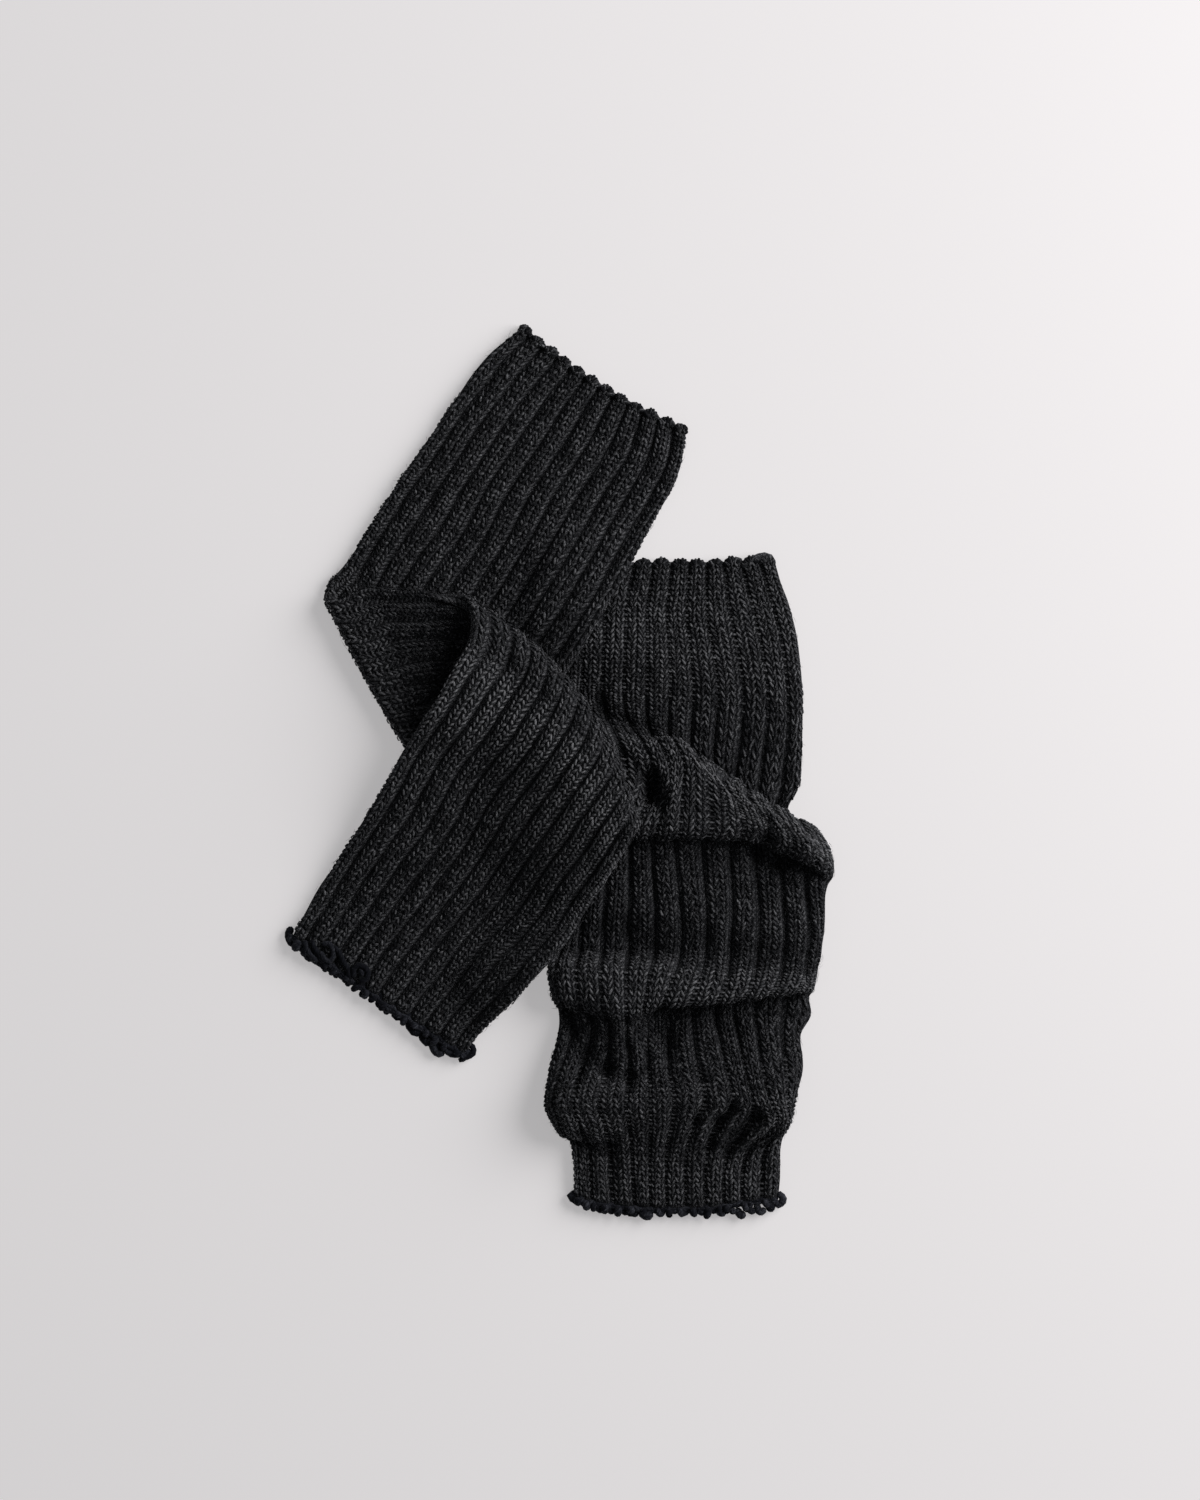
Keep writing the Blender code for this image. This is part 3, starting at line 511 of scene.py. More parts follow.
def folded_rows():
    """The rows of the folded tube, with the turns written out: p and q points, bow, ride, groove and painted
    light and shade.
    """
    t = table(FOLDED_ROWS, FOLDED_COLUMNS)
    p = np.column_stack([t["px"], t["py"], t["pz"]])
    q = np.column_stack([t["qx"], t["qy"], t["qz"]])
    rows = []
    for k in range(len(p)):
        if t["roll_p"][k] == 0:
            rows.append((p[k], q[k], t["bow"][k], t["ride"][k], t["groove"][k], t["painted_shading"][k]))
            continue
        axis = unit((q[k] - p[k])[:2])
        travel = (p[k] + q[k] - p[k - 1] - q[k - 1])[:2]
        ahead = unit(travel - travel @ axis * axis)
        for angle in np.linspace(-math.pi / 2, math.pi / 2, ROLL_STEPS + 1):
            ends = []
            for end, radius, drift in ((p[k], t["roll_p"][k], P_DRIFT), (q[k], t["roll_q"][k], Q_DRIFT)):
                plan = ahead * radius * math.cos(angle) + axis * drift * radius * angle
                ends.append(end + np.array([plan[0], plan[1], radius * (1 + math.sin(angle))]))
            rows.append((ends[0], ends[1], t["bow"][k], t["ride"][k], t["groove"][k], t["painted_shading"][k]))
    rows = np.array([[*p, *q, *rest] for p, q, *rest in rows])
    rows = resample(rows, (rows[:, :3], rows[:, 3:6]), LAY_SPACING)
    return rows[:, :3], rows[:, 3:6], rows[:, 6:7], rows[:, 7:8], rows[:, 8:]


def folded_middle(rows, across, carried, crossed):
    """The middle surface of the folded tube: a point for each row and each place across it.

    carried gives the height that lifts it, and crossed the height that its last stretch rests on.
    """
    p, q, bow, ride, _ = rows
    p, q = p[:, None], q[:, None]
    across = across[..., None]
    span = q - p
    forward = unit(np.stack([-span[..., 1], span[..., 0], 0 * span[..., 0]], axis=-1))
    points = p + span * across + forward * bow[..., None] * 4 * across * (1 - across)
    points[..., 2] += ride * carried(points[..., 0], points[..., 1])
    resting = crossed(points[..., 0], points[..., 1]) + TUBE_HALF
    near = 1 - np.abs(np.clip((points[..., 2] - resting) / TOUCH, -1, 1))
    rested = np.maximum(points[..., 2], resting) + TOUCH / 4 * near**2
    points[..., 2] += (rested - points[..., 2]) * (ride < ALL_RIDE)
    return points


def folded_lie(rows, carried, crossed):
    """Outer points of the folded tube, their directions out, and its inner points, a ring for each row."""
    p, q = rows[0], rows[1]
    width = np.linalg.norm(q - p, axis=1)
    run = np.arange(RIBS_ROUND * LAY_COLUMNS) / (RIBS_ROUND * LAY_COLUMNS)
    sections = [ring_positions(w, TUBE_HALF, run) for w in width]
    centre, aside, up = [np.array(part) for part in zip(*sections)]
    across = centre / width[:, None]
    middle = folded_middle(rows, across, carried, crossed)
    step = 0.02
    further = folded_middle(rows, across + step, carried, crossed)
    over = unit(further - folded_middle(rows, across - step, carried, crossed))
    normal = unit(np.cross(heading(middle), over))
    outs = over * aside[..., None] + normal * up[..., None]
    return middle + outs * TUBE_HALF, outs, middle + outs * SLIT / 2, rows[4]


def floor_path(upper):
    """Where the underside lies along the table: it goes steadily on where the upper side turns back."""
    forward = np.maximum.accumulate(-upper, axis=0)
    even = np.linspace(0, 1, len(upper))[:, None]
    evenly = forward[:1] + (forward[-1:] - forward[:1]) * even
    steady = FLOOR_FOLLOWS * forward + (1 - FLOOR_FOLLOWS) * evenly
    for _ in range(FLOOR_SMOOTHED):
        steady[1:-1] = (steady[:-2] + 2 * steady[1:-1] + steady[2:]) / 4
    return -steady


def dents(x, y):
    """The height that the dents and swells add at a place."""
    total = np.zeros(x.shape)
    for row in DENT_ROWS:
        dent = dict(zip(DENT_COLUMNS, row))
        aside, away = x - dent["x1"], y - dent["y1"]
        run = np.array([dent["x2"] - dent["x1"], dent["y2"] - dent["y1"]])
        share = np.clip((aside * run[0] + away * run[1]) / (run @ run), 0, 1)
        distance = np.hypot(aside - run[0] * share, away - run[1] * share)
        total += dent["height"] * np.exp(-0.5 * (distance / dent["spread"]) ** 2)
    return total


def narrowest(edge):
    """An edge that keeps in as far as the rows near it do."""
    padded = np.pad(edge, ((INSET_REACH, INSET_REACH), (0, 0)), mode="edge")
    return np.maximum.reduce([padded[k : k + len(edge)] for k in range(2 * INSET_REACH + 1)])


def bunched_rows():
    """The rows of the bunched tube, close together: grooves and painted light and shade, and x, y and z at the
    stations.
    """
    rows = np.array([[groove, painted_shading, *x, *y, *z] for _, groove, painted_shading, x, y, z in BUNCHED_ROWS])
    first_y, first_z = 2 + STATIONS, 2 + 2 * STATIONS
    lines = [rows[:, [first_y + station, first_z + station]] for station in range(STATIONS)]
    rows = resample(rows, lines, LAY_SPACING)
    return rows[:, :2], rows[:, 2:first_y], rows[:, first_y:first_z], rows[:, first_z:]


def between_stations(values, share):
    """Values at the stations read on a smooth curve across each row."""
    spot = np.clip(share * (STATIONS - 1), 0, STATIONS - 1 - 1e-9)
    i = spot.astype(int)
    share = spot - i
    slopes = even_slopes(values.T, np.arange(STATIONS, dtype=float)).T
    start, end = np.take_along_axis(values, i, 1), np.take_along_axis(values, i + 1, 1)
    leave, reach = np.take_along_axis(slopes, i, 1), np.take_along_axis(slopes, i + 1, 1)
    return curve(start, end, leave, reach, share)


def run_over(x, width, left, right):
    """How far it is to a place x over the rounded side of a section, and over all of it."""
    quarter = math.pi / 2
    run = x - left + quarter * left
    run = np.where(x < left, left * np.arccos(np.clip(1 - x / left, -1, 1)), run)
    arc = width + (quarter - 1) * (left + right)
    from_right = right * np.arccos(np.clip(1 - (width - x) / right, -1, 1))
    return np.where(width - x < right, arc - from_right, run), arc


def bunched_lie():
    """Outer points of the bunched tube, their directions out, its inner points, and its grooves and painted
    light and shade.
    """
    looks, x_at, places, heights = bunched_rows()
    x_left, x_right = x_at[:, :1], x_at[:, -1:]
    count = BUNCHED_TOP_RIBS * LAY_COLUMNS
    turn = 1 - np.arange(UNDERSIDE_COLUMNS) / UNDERSIDE_COLUMNS
    upper = np.repeat(np.arange(count)[None] / count, len(x_at), 0)
    width = x_right - x_left
    left = heights[:, :1] / 2
    right = heights[:, -1:] / 2
    stations, arc = run_over(x_at - x_left, width, left, right)
    run = between_stations(stations, upper)
    from_right = arc - run
    angle = np.where(run < math.pi / 2 * left, run / left, math.pi / 2)
    angle = np.where(from_right < math.pi / 2 * right, from_right / right, angle)
    x = left + run - math.pi / 2 * left
    x = np.where(run < math.pi / 2 * left, left * (1 - np.cos(angle)), x)
    x = np.where(from_right < math.pi / 2 * right, width - right * (1 - np.cos(angle)), x)
    low_angle = np.minimum(np.minimum(turn, 1 - turn) / SIDE_CORNER, 1) * math.pi / 2
    flat = np.clip((turn - SIDE_CORNER) / (1 - 2 * SIDE_CORNER), 0, 1)
    low_x = left + (width - left - right) * flat
    low_x = np.where(turn < SIDE_CORNER, left * (1 - np.cos(low_angle)), low_x)
    low_x = np.where(turn > 1 - SIDE_CORNER, width - right * (1 - np.cos(low_angle)), low_x)
    below = np.array([np.interp(low, over, share) for low, over, share in zip(low_x, x, upper)])
    below[:, 0] = 1
    share = np.hstack([upper, below])
    x = np.hstack([x, low_x])
    rise = np.hstack([np.sin(angle), -np.sin(low_angle) + np.zeros(low_x.shape)])
    y_upper = between_stations(places, share)
    tall = between_stations(heights, share)
    y_floor = floor_path(y_upper)
    across = x / width
    x = x + x_left
    y = y_floor + (y_upper - y_floor) * ((1 + rise) / 2) ** SIDE_LEAN
    up = np.clip(rise, 0, 1) ** 2
    dented = tall + dents(x, y_upper) * np.clip((tall - DENT_FROM) / DENT_EASE, 0, 1) * up
    z = np.maximum(dented, np.minimum(tall, LOWEST_DENT)) * (1 + rise) / 2
    outer = np.stack([x, y, z], axis=-1)
    round_it = np.roll(outer, -1, axis=1) - np.roll(outer, 1, axis=1)
    outs = unit(np.cross(heading(outer), round_it))
    inner_left = narrowest(x_left + TUBE_HALF + SLIT_INSET * (left - TUBE_HALF))
    inner_right = -narrowest(TUBE_HALF + SLIT_INSET * (right - TUBE_HALF) - x_right)
    inner_x = np.clip(x, inner_left, inner_right)
    inner_x = inner_x + SLIT / 2 * np.sign(across - 0.5) * (1 - np.abs(rise))
    inner = np.stack([inner_x, y_floor, TUBE_HALF + SLIT / 2 * rise], axis=-1)
    return outer, outs, inner, looks


def closer(points, times):
    """A grid of points with more rows between its rows."""
    ahead = np.concatenate([points[1:], points[-1:]])
    shares = np.arange(times) / times
    return np.concatenate([points * (1 - share) + ahead * share for share in shares])


def beside(grid):
    """The grid moved by one cell each way."""
    return [np.roll(grid, shift, axis=axis) for axis in (0, 1) for shift in (-1, 1)]


def spread(grid, times, drop):
    """The grid with its high places grown by a cell each time, that much lower."""
    for _ in range(times):
        grid = np.maximum.reduce([grid, *(near - drop for near in beside(grid))])
    return grid


def soften(grid, times):
    """The grid with its steps evened out."""
    for _ in range(times):
        grid = grid / 2 + sum(beside(grid)) / 8
    return grid


def height_over(grids):
    """A function that gives the height of the cloth at a place, a little wider and softer than it is."""
    low = np.min([grid[..., :2].min(axis=(0, 1)) for grid in grids], axis=0) - MARGIN * CELL
    high = np.max([grid[..., :2].max(axis=(0, 1)) for grid in grids], axis=0) + MARGIN * CELL
    size = ((high - low) / CELL).astype(int) + 1
    grid = np.zeros(size)
    for points in grids:
        fine = closer(points, ROW_SPLITS).swapaxes(0, 1)
        fine = closer(fine, POINT_SPLITS)
        cell = ((fine[..., :2] - low) / CELL).round().astype(int)
        np.maximum.at(grid, (cell[..., 0], cell[..., 1]), fine[..., 2])
    grid = spread(grid, GROW, 0)
    grid = spread(grid, MARGIN, CELL * STEEPEST)
    grid = soften(grid, SOFTEN)

    def height(x, y):
        u = np.clip((x - low[0]) / CELL, 0, size[0] - 2)
        v = np.clip((y - low[1]) / CELL, 0, size[1] - 2)
        i, j = u.astype(int), v.astype(int)
        level = between(grid, i, j, u - i, v - j)
        return level + CLEAR * np.clip(level / 2, 0, 1)

    return height


def lay_out():
    """The smooth skins of the two tubes as they lie, by name."""
    bunched = bunched_lie()
    outer = bunched[0]
    lying = np.concatenate([outer[:1] + unit(outer[:1] - outer[1:2]) * EDGING_REACH, outer])
    carried = height_over([lying])
    rows = folded_rows()
    below = int((rows[3] > ALL_RIDE).sum()) - ROLL_STEPS
    first_layers = folded_lie(rows, carried, carried)[0][:below]
    folded = folded_lie(rows, carried, height_over([lying, first_layers]))
    return {
        "folded": Skin(*folded, 0, RIBS_ROUND),
        "bunched": Skin(*bunched, 0, BUNCHED_TOP_RIBS),
    }


SKINS = lay_out()


# The curled loops of the hems' edging yarn, as they lie, for each tube and end: a name, half the yarn's
# thickness, the height of its middle, and the places that it runs through.
CURLS = {
    ("folded", "top"): (),
    ("folded", "bottom"): (
        ("corner_curl", 2.3, 2.6, (-151.1, -98.3), (-154.8, -100.6), (-157.6, -95.1), (-155.7, -90.1)),
        ("corner_knob", 1.7, 2, (-152.9, -101.3), (-150.6, -103.1), (-147.8, -103.8)),
        ("first_slanting", 1.6, 7.4, (-148.1, -97.8), (-147.1, -102.7), (-143.9, -107.5), (-140.9, -110.1)),
        ("second_slanting", 1.6, 7.7, (-144.1, -97.6), (-142.3, -102.2), (-139.5, -106.8), (-135.8, -111)),
        ("hem_ring", 1.6, 8.2, (-138.1, -101), (-135.1, -98.9), (-132.3, -101.7), (-131.4, -106.4),
            (-133.7, -110.5), (-137.2, -108.5), (-139, -104.1)),
        ("long_strand", 1.7, 7.8, (-131.6, -101.3), (-127.9, -105.2), (-125.8, -110.5), (-122.6, -115),
            (-121.9, -120.3)),
        ("rope_below", 1.8, 3.2, (-150.6, -104.5), (-144.1, -108.9), (-136.9, -113.1), (-129.7, -117),
            (-123.9, -121), (-119.3, -123.3)),
        ("rope_above", 1.6, 5.6, (-148.8, -102.7), (-142.3, -106.8), (-135.3, -111), (-128.4, -115.4),
            (-122.6, -119.1)),
        ("low_knob", 1.7, 2.2, (-148.3, -105.2), (-146.7, -108.2), (-143.4, -109.6)),
        ("curled_ring", 1.75, 8.4, (-119.3, -119.6), (-120.2, -115), (-116.8, -112.2), (-112.8, -113.8),
            (-111, -117.7), (-113.3, -121.2), (-117, -121.7)),
        ("curled_middle", 1.3, 8.8, (-117.2, -115.4), (-114.9, -116.3), (-115.4, -119.1)),
        ("knob_1", 2.2, 4.2, (-116.8, -122.6), (-113, -124.7), (-109.6, -123.8)),
        ("knob_2", 2.2, 3.8, (-110.3, -124.9), (-108.6, -129.6), (-105.6, -131.7), (-103.8, -129.1)),
        ("scallop_1", 2.4, 4.6, (-104.2, -128.2), (-102.8, -134.9), (-98.2, -138.6), (-94.5, -135.6)),
        ("scallop_2", 2.5, 4.4, (-96.6, -134.9), (-94.5, -140.7), (-89.8, -143.3), (-86.4, -140.2)),
        ("scallop_3", 2.4, 4.2, (-88.2, -142.1), (-86.8, -148.8), (-83.3, -151.8), (-80.6, -148.6)),
        ("scallop_4", 2.2, 3.8, (-80.8, -149.5), (-79.4, -155.6), (-76.6, -157.9), (-74.5, -153.9)),
        ("scallop_5", 2.4, 3.6, (-74.3, -154.9), (-73.6, -160.2), (-70.6, -163.9), (-67.3, -161.6)),
        ("filling_3", 2.2, 3.8, (-88, -141), (-85, -146), (-82.5, -148)),
        ("filling_4", 2.2, 3.6, (-80, -148), (-77.5, -153), (-75.5, -154)),
        ("filling_5", 2.4, 3.4, (-74, -154), (-71, -159), (-68, -160.5)),
        ("filling_end", 2.3, 3.6, (-67, -156.5), (-61, -160.5), (-55, -161.5)),
        ("filling_curl", 2, 3.2, (-57, -161.5), (-54.5, -162.5), (-52, -161.5)),
        ("end_strand", 2.2, 4.6, (-67.8, -159.7), (-64.1, -163.4), (-58.3, -163.7), (-53.2, -162.1)),
        ("end_curl", 1.9, 3.4, (-58.3, -164.8), (-53.2, -165.3), (-50.4, -162.7), (-51.6, -159),
            (-54.6, -158.6)),
    ),
    ("bunched", "top"): (
        ("corner_loop", 2.2, 5.6, (104.5, 118.5), (110, 121.5), (115, 124), (120, 124.6), (123.8, 119)),
        ("loop_beside_it", 1.9, 5.2, (96, 119), (100.5, 121.8), (105.5, 121.8)),
    ),
    ("bunched", "bottom"): (
        ("left_point", 2.3, 3.4, (13.4, -246.1), (9.4, -244.6), (5.5, -246.5), (9, -248.8), (12.9, -249.8)),
        ("left_loop", 2.3, 4.8, (11.9, -245.1), (13.4, -250.2), (16.7, -251.3), (18.8, -247.7)),
        ("knob_a", 2.2, 4.2, (20.8, -249.4), (22.1, -253.5), (25, -254.2), (26.8, -251.3)),
        ("knob_b", 2, 4, (27.7, -250.9), (29.5, -255), (32, -254.6)),
        ("knob_c", 1.8, 3.4, (35.7, -252.3), (37.6, -256), (39.1, -254.6)),
        ("knob_d", 1.9, 3.8, (41.5, -252.3), (42.8, -256.9), (45.1, -255.4)),
        ("fat_knob", 2.7, 4.6, (47.7, -253.1), (47.8, -256.6), (50.9, -257.5), (52.3, -254.4)),
        ("knob_e", 2, 4.2, (55.2, -252.5), (57.7, -256.7), (60.4, -254.8)),
        ("knob_f", 1.9, 4.6, (63.7, -252.7), (66, -255), (68.3, -254)),
        ("knob_g", 2.1, 4.2, (69.7, -251.5), (71.8, -256), (74.3, -253.5)),
        ("knob_h", 2.2, 4.4, (79.8, -249.4), (81.1, -255.4), (84.2, -255.4), (85.4, -250.6)),
        ("knob_i", 1.9, 4.6, (86.7, -251.9), (88.6, -255), (90.6, -253.1)),
        ("knob_j", 2.3, 4.2, (90.8, -250.8), (92.5, -255.6), (96, -256.7)),
        ("knob_k", 1.9, 4.6, (98.1, -252.7), (100, -255.2), (102, -253.8)),
        ("hanging_knob", 2.5, 3.8, (101.8, -253.1), (104.3, -256.9), (107.6, -257.7)),
        ("knob_l", 2, 4.6, (108.4, -252.5), (111.1, -255), (113, -253.3)),
        ("knob_m", 2.3, 4.4, (113, -250.6), (115.7, -255.2), (119.2, -253.8)),
        ("knob_n", 2, 4.4, (119.8, -250.8), (121.7, -253.7), (123.8, -251.3)),
        ("filling_right", 2.3, 3.6, (117.5, -249.5), (121.5, -250.5), (126, -248.5)),
        ("filling_left", 2.3, 3.6, (9, -246.5), (14, -248), (19, -249.5)),
        ("right_curl", 2.2, 3.8, (123.8, -248.6), (126.1, -251.3), (129, -248.4), (127.3, -245.5),
            (125.2, -246.5)),
    ),
}


# ---------------------------------------------------------------- materials

WOOLS = ("Dark wool", "Main wool", "Light wool")
WOOL = {
    "Roughness": 0.92,
    "Specular IOR Level": 0.08,
    "Sheen Weight": 0.05,
    "Sheen Roughness": 0.45,
    "Sheen Tint": (0.75, 0.78, 0.85, 1),
}
EDGING_TINT = ((0.006, 0.0066, 0.0095), (0.018, 0.0193, 0.0255), (0.07, 0.074, 0.088))
FIBRE_TINT = ((0.02, 0.021, 0.023), (0.05, 0.052, 0.055), (0.12, 0.12, 0.125))
GAP_SHADE_COLOUR = (0.009, 0.0095, 0.011)  # painted shade of the cloth in the gaps between stitches
# Two noises, each with its scale in a millimetre, its detail and its roughness, and the part of its range
# that turns the wool from dark to its main colour and from that to light
MOTTLE_NOISE, MOTTLE = (0.4, 1.0, 0.5), (0.5, 0.85)
FLECK_NOISE, FLECKS = (1.7, 2.0, 0.7), (0.59, 0.78)
MOTTLE_TONE, FLECK_TONE = 0.4, 0.16  # how much a yarn's tone adds to them; on the stitches that tone carries painted light and shade
V_LEAN = 1.9  # how many courses the legs of a flat stitch rise over its width
V_EDGE = 0.12
GAP_SHADE = (0.1, 0.6)  # the heights between which painted shade darkens the gaps among the legs
PLIES = 3.0
PLY_SHADE = (-1.7, -0.4)  # how dark the painted shade in the lines between the plies is
YARN_RELIEF = (0.8, 0.25 * MM)  # strength and distance
CLOTH_RELIEF = (0.9, 0.9 * MM)
CLOTH_TONE = 0.4
CLOTH_FUZZ = 0.3


def new_group(name, inputs, outputs):
    """A shader node group with named sockets, and its input and output nodes."""
    group = bpy.data.node_groups.new(name, "ShaderNodeTree")
    for side, sockets in (("INPUT", inputs), ("OUTPUT", outputs)):
        for label, kind in sockets:
            group.interface.new_socket(label, in_out=side, socket_type=f"NodeSocket{kind}")
    return group, group.nodes.new("NodeGroupInput"), group.nodes.new("NodeGroupOutput")


def put(tree, socket, value):
    """Sets a socket to a constant, or links another socket to it."""
    if isinstance(value, bpy.types.NodeSocket):
        tree.links.new(value, socket)
    else:
        socket.default_value = value


def reckon(tree, operation, *values):
    """The result of a Math node."""
    node = tree.nodes.new("ShaderNodeMath")
    node.operation = operation
    for socket, value in zip(node.inputs, values):
        put(tree, socket, value)
    return node.outputs[0]


def noise(tree, vector, scale, detail, rough):
    """The grey value of a Noise Texture."""
    node = tree.nodes.new("ShaderNodeTexNoise")
    put(tree, node.inputs["Vector"], vector)
    put(tree, node.inputs["Scale"], scale)
    put(tree, node.inputs["Detail"], detail)
    put(tree, node.inputs["Roughness"], rough)
    return node.outputs["Fac"]


def mix(tree, factor, first, second):
    """The result of a colour Mix node."""
    node = tree.nodes.new("ShaderNodeMix")
    node.data_type = "RGBA"
    put(tree, node.inputs["Factor"], factor)
    colours = [socket for socket in node.inputs if socket.type == "RGBA"]
    put(tree, colours[0], first)
    put(tree, colours[1], second)
    return next(socket for socket in node.outputs if socket.type == "RGBA")


def stretch(tree, value, low, high):
    """A value from low to high moved to 0 to 1, and kept in it."""
    node = tree.nodes.new("ShaderNodeMapRange")
    for socket, number in zip(node.inputs, (value, low, high, 0.0, 1.0)):
        put(tree, socket, number)
    return node.outputs["Result"]


def melange_group():
    """Flecks of light and dark wool in a yarn, and the fine relief of its fibres."""
    inputs = [("Yarn", "Vector"), ("Tone", "Float"), *((wool, "Color") for wool in WOOLS)]
    group, into, out = new_group("melange", inputs, (("Colour", "Color"), ("Height", "Float")))
    yarn, tone, dark, main, light = into.outputs[:5]
    coarse = noise(group, yarn, *MOTTLE_NOISE)
    fine = noise(group, yarn, *FLECK_NOISE)
    mottled = reckon(group, "ADD", coarse, reckon(group, "MULTIPLY", tone, MOTTLE_TONE))
    flecked = reckon(group, "ADD", fine, reckon(group, "MULTIPLY", tone, FLECK_TONE))
    base = mix(group, stretch(group, mottled, *MOTTLE), dark, main)
    group.links.new(mix(group, stretch(group, flecked, *FLECKS), base, light), out.inputs["Colour"])
    group.links.new(fine, out.inputs["Height"])


def knit_group():
    """The V of each stitch over a plain cloth: the height of its legs from a place in wales and courses, and
    the painted shade in the gaps among them.
    """
    group, into, out = new_group(
        "knit_courses", [("Wales and courses", "Vector")], (("Height", "Float"), ("Gap shade", "Float"))
    )
    split = group.nodes.new("ShaderNodeSeparateXYZ")
    group.links.new(into.outputs[0], split.inputs[0])
    in_wale = reckon(group, "FRACT", split.outputs["X"])
    across = reckon(group, "ABSOLUTE", reckon(group, "SUBTRACT", in_wale, 0.5))
    leaning = reckon(group, "ADD", split.outputs["Y"], reckon(group, "MULTIPLY", across, V_LEAN))
    phase = reckon(group, "FRACT", leaning)
    crest = reckon(group, "SINE", reckon(group, "MULTIPLY", phase, math.pi))
    to_edge = reckon(group, "MINIMUM", across, reckon(group, "SUBTRACT", 0.5, across))
    edge = stretch(group, to_edge, 0.0, V_EDGE)
    height = reckon(group, "MULTIPLY", crest, edge)
    group.links.new(height, out.inputs["Height"])
    group.links.new(reckon(group, "SUBTRACT", 1.0, stretch(group, height, *GAP_SHADE)), out.inputs["Gap shade"])


def painted(name, values):
    """The node tree and the Principled shader of a new material, with values for some of its sockets."""
    made = bpy.data.materials.new(name)
    made.use_nodes = True
    shader = made.node_tree.nodes["Principled BSDF"]
    for socket, value in values.items():
        shader.inputs[socket].default_value = value
    return made.node_tree, shader


def wool_in(tree, yarn, tone, tint):
    """The colour and the height of melange wool, at a place along its yarn."""
    wool = tree.nodes.new("ShaderNodeGroup")
    wool.node_tree = bpy.data.node_groups["melange"]
    put(tree, wool.inputs["Yarn"], yarn)
    put(tree, wool.inputs["Tone"], tone)
    for label, colour in zip(WOOLS, tint):
        wool.inputs[label].default_value = (*colour, 1)
    return wool.outputs["Colour"], wool.outputs["Height"]


def surface(tree, shader, colour, height, strength, distance):
    """Gives a shader its colour and its relief."""
    bump = tree.nodes.new("ShaderNodeBump")
    bump.inputs["Strength"].default_value = strength
    bump.inputs["Distance"].default_value = distance
    tree.links.new(height, bump.inputs["Height"])
    tree.links.new(colour, shader.inputs["Base Color"])
    tree.links.new(bump.outputs["Normal"], shader.inputs["Normal"])


def yarn_material(name, tint, tone):
    """Melange wool on a piece whose yarn attribute says how far along its yarn, round it, and how light, which
    on the stitches includes painted light and shade.
    """
    tree, shader = painted(name, WOOL)
    yarn = tree.nodes.new("ShaderNodeAttribute")
    yarn.attribute_name = "yarn"
    split = tree.nodes.new("ShaderNodeSeparateXYZ")
    tree.links.new(yarn.outputs["Vector"], split.inputs[0])
    tones = reckon(tree, "ADD", split.outputs["Z"], tone)
    colour, height = wool_in(tree, yarn.outputs["Vector"], tones, tint)
    # The lines between the plies are darkened towards the dark wool with painted shade, and the bump sinks them
    # too.
    ply = stretch(tree, reckon(tree, "SINE", reckon(tree, "MULTIPLY", split.outputs["Y"], PLIES)), *PLY_SHADE)
    ply_shaded = mix(tree, ply, (*tint[0], 1), colour)
    surface(tree, shader, ply_shaded, reckon(tree, "ADD", height, ply), *YARN_RELIEF)


def cloth_material(name, tint):
    """Melange wool on a knitted wall, with the courses of stitches that lie under the raised ones, and painted
    shade in the gaps among their legs.
    """
    tree, shader = painted(name, WOOL)
    place = tree.nodes.new("ShaderNodeUVMap")
    place.uv_map = "knit"
    courses = tree.nodes.new("ShaderNodeGroup")
    courses.node_tree = bpy.data.node_groups["knit_courses"]
    tree.links.new(place.outputs["UV"], courses.inputs[0])
    spot = tree.nodes.new("ShaderNodeTexCoord")
    in_millimetres = tree.nodes.new("ShaderNodeVectorMath")
    in_millimetres.operation = "SCALE"
    in_millimetres.inputs["Scale"].default_value = 1 / MM
    tree.links.new(spot.outputs["Object"], in_millimetres.inputs[0])
    colour, height = wool_in(tree, in_millimetres.outputs["Vector"], CLOTH_TONE, tint)
    # Painted shade: the cloth turns dark in the gaps among the stitches' legs.
    gap_shaded = mix(tree, courses.outputs["Gap shade"], colour, (*GAP_SHADE_COLOUR, 1))
    relief = reckon(tree, "ADD", courses.outputs["Height"], reckon(tree, "MULTIPLY", height, CLOTH_FUZZ))
    surface(tree, shader, gap_shaded, relief, *CLOTH_RELIEF)


# ---------------------------------------------------------------- mesh helpers


def set_grid(mesh, verts, points):
    """Moves a flat grid's points to a grid of places, a row for each along its y, and marks each one's spot."""
    layers = mesh.loops.layers.uv["knit"]
    spots = np.array([vert.co[:2] for vert in verts])
    low, high = spots.min(0), spots.max(0)
    rows, columns = points.shape[0] - 1, points.shape[1] - 1
    index = np.round((spots - low) / (high - low) * (columns, rows)).astype(int)
    for vert, (i, j) in zip(verts, index):
        vert.co = points[j, i]
        for loop in vert.link_loops:
            loop[layers].uv = (i / columns, j / rows)


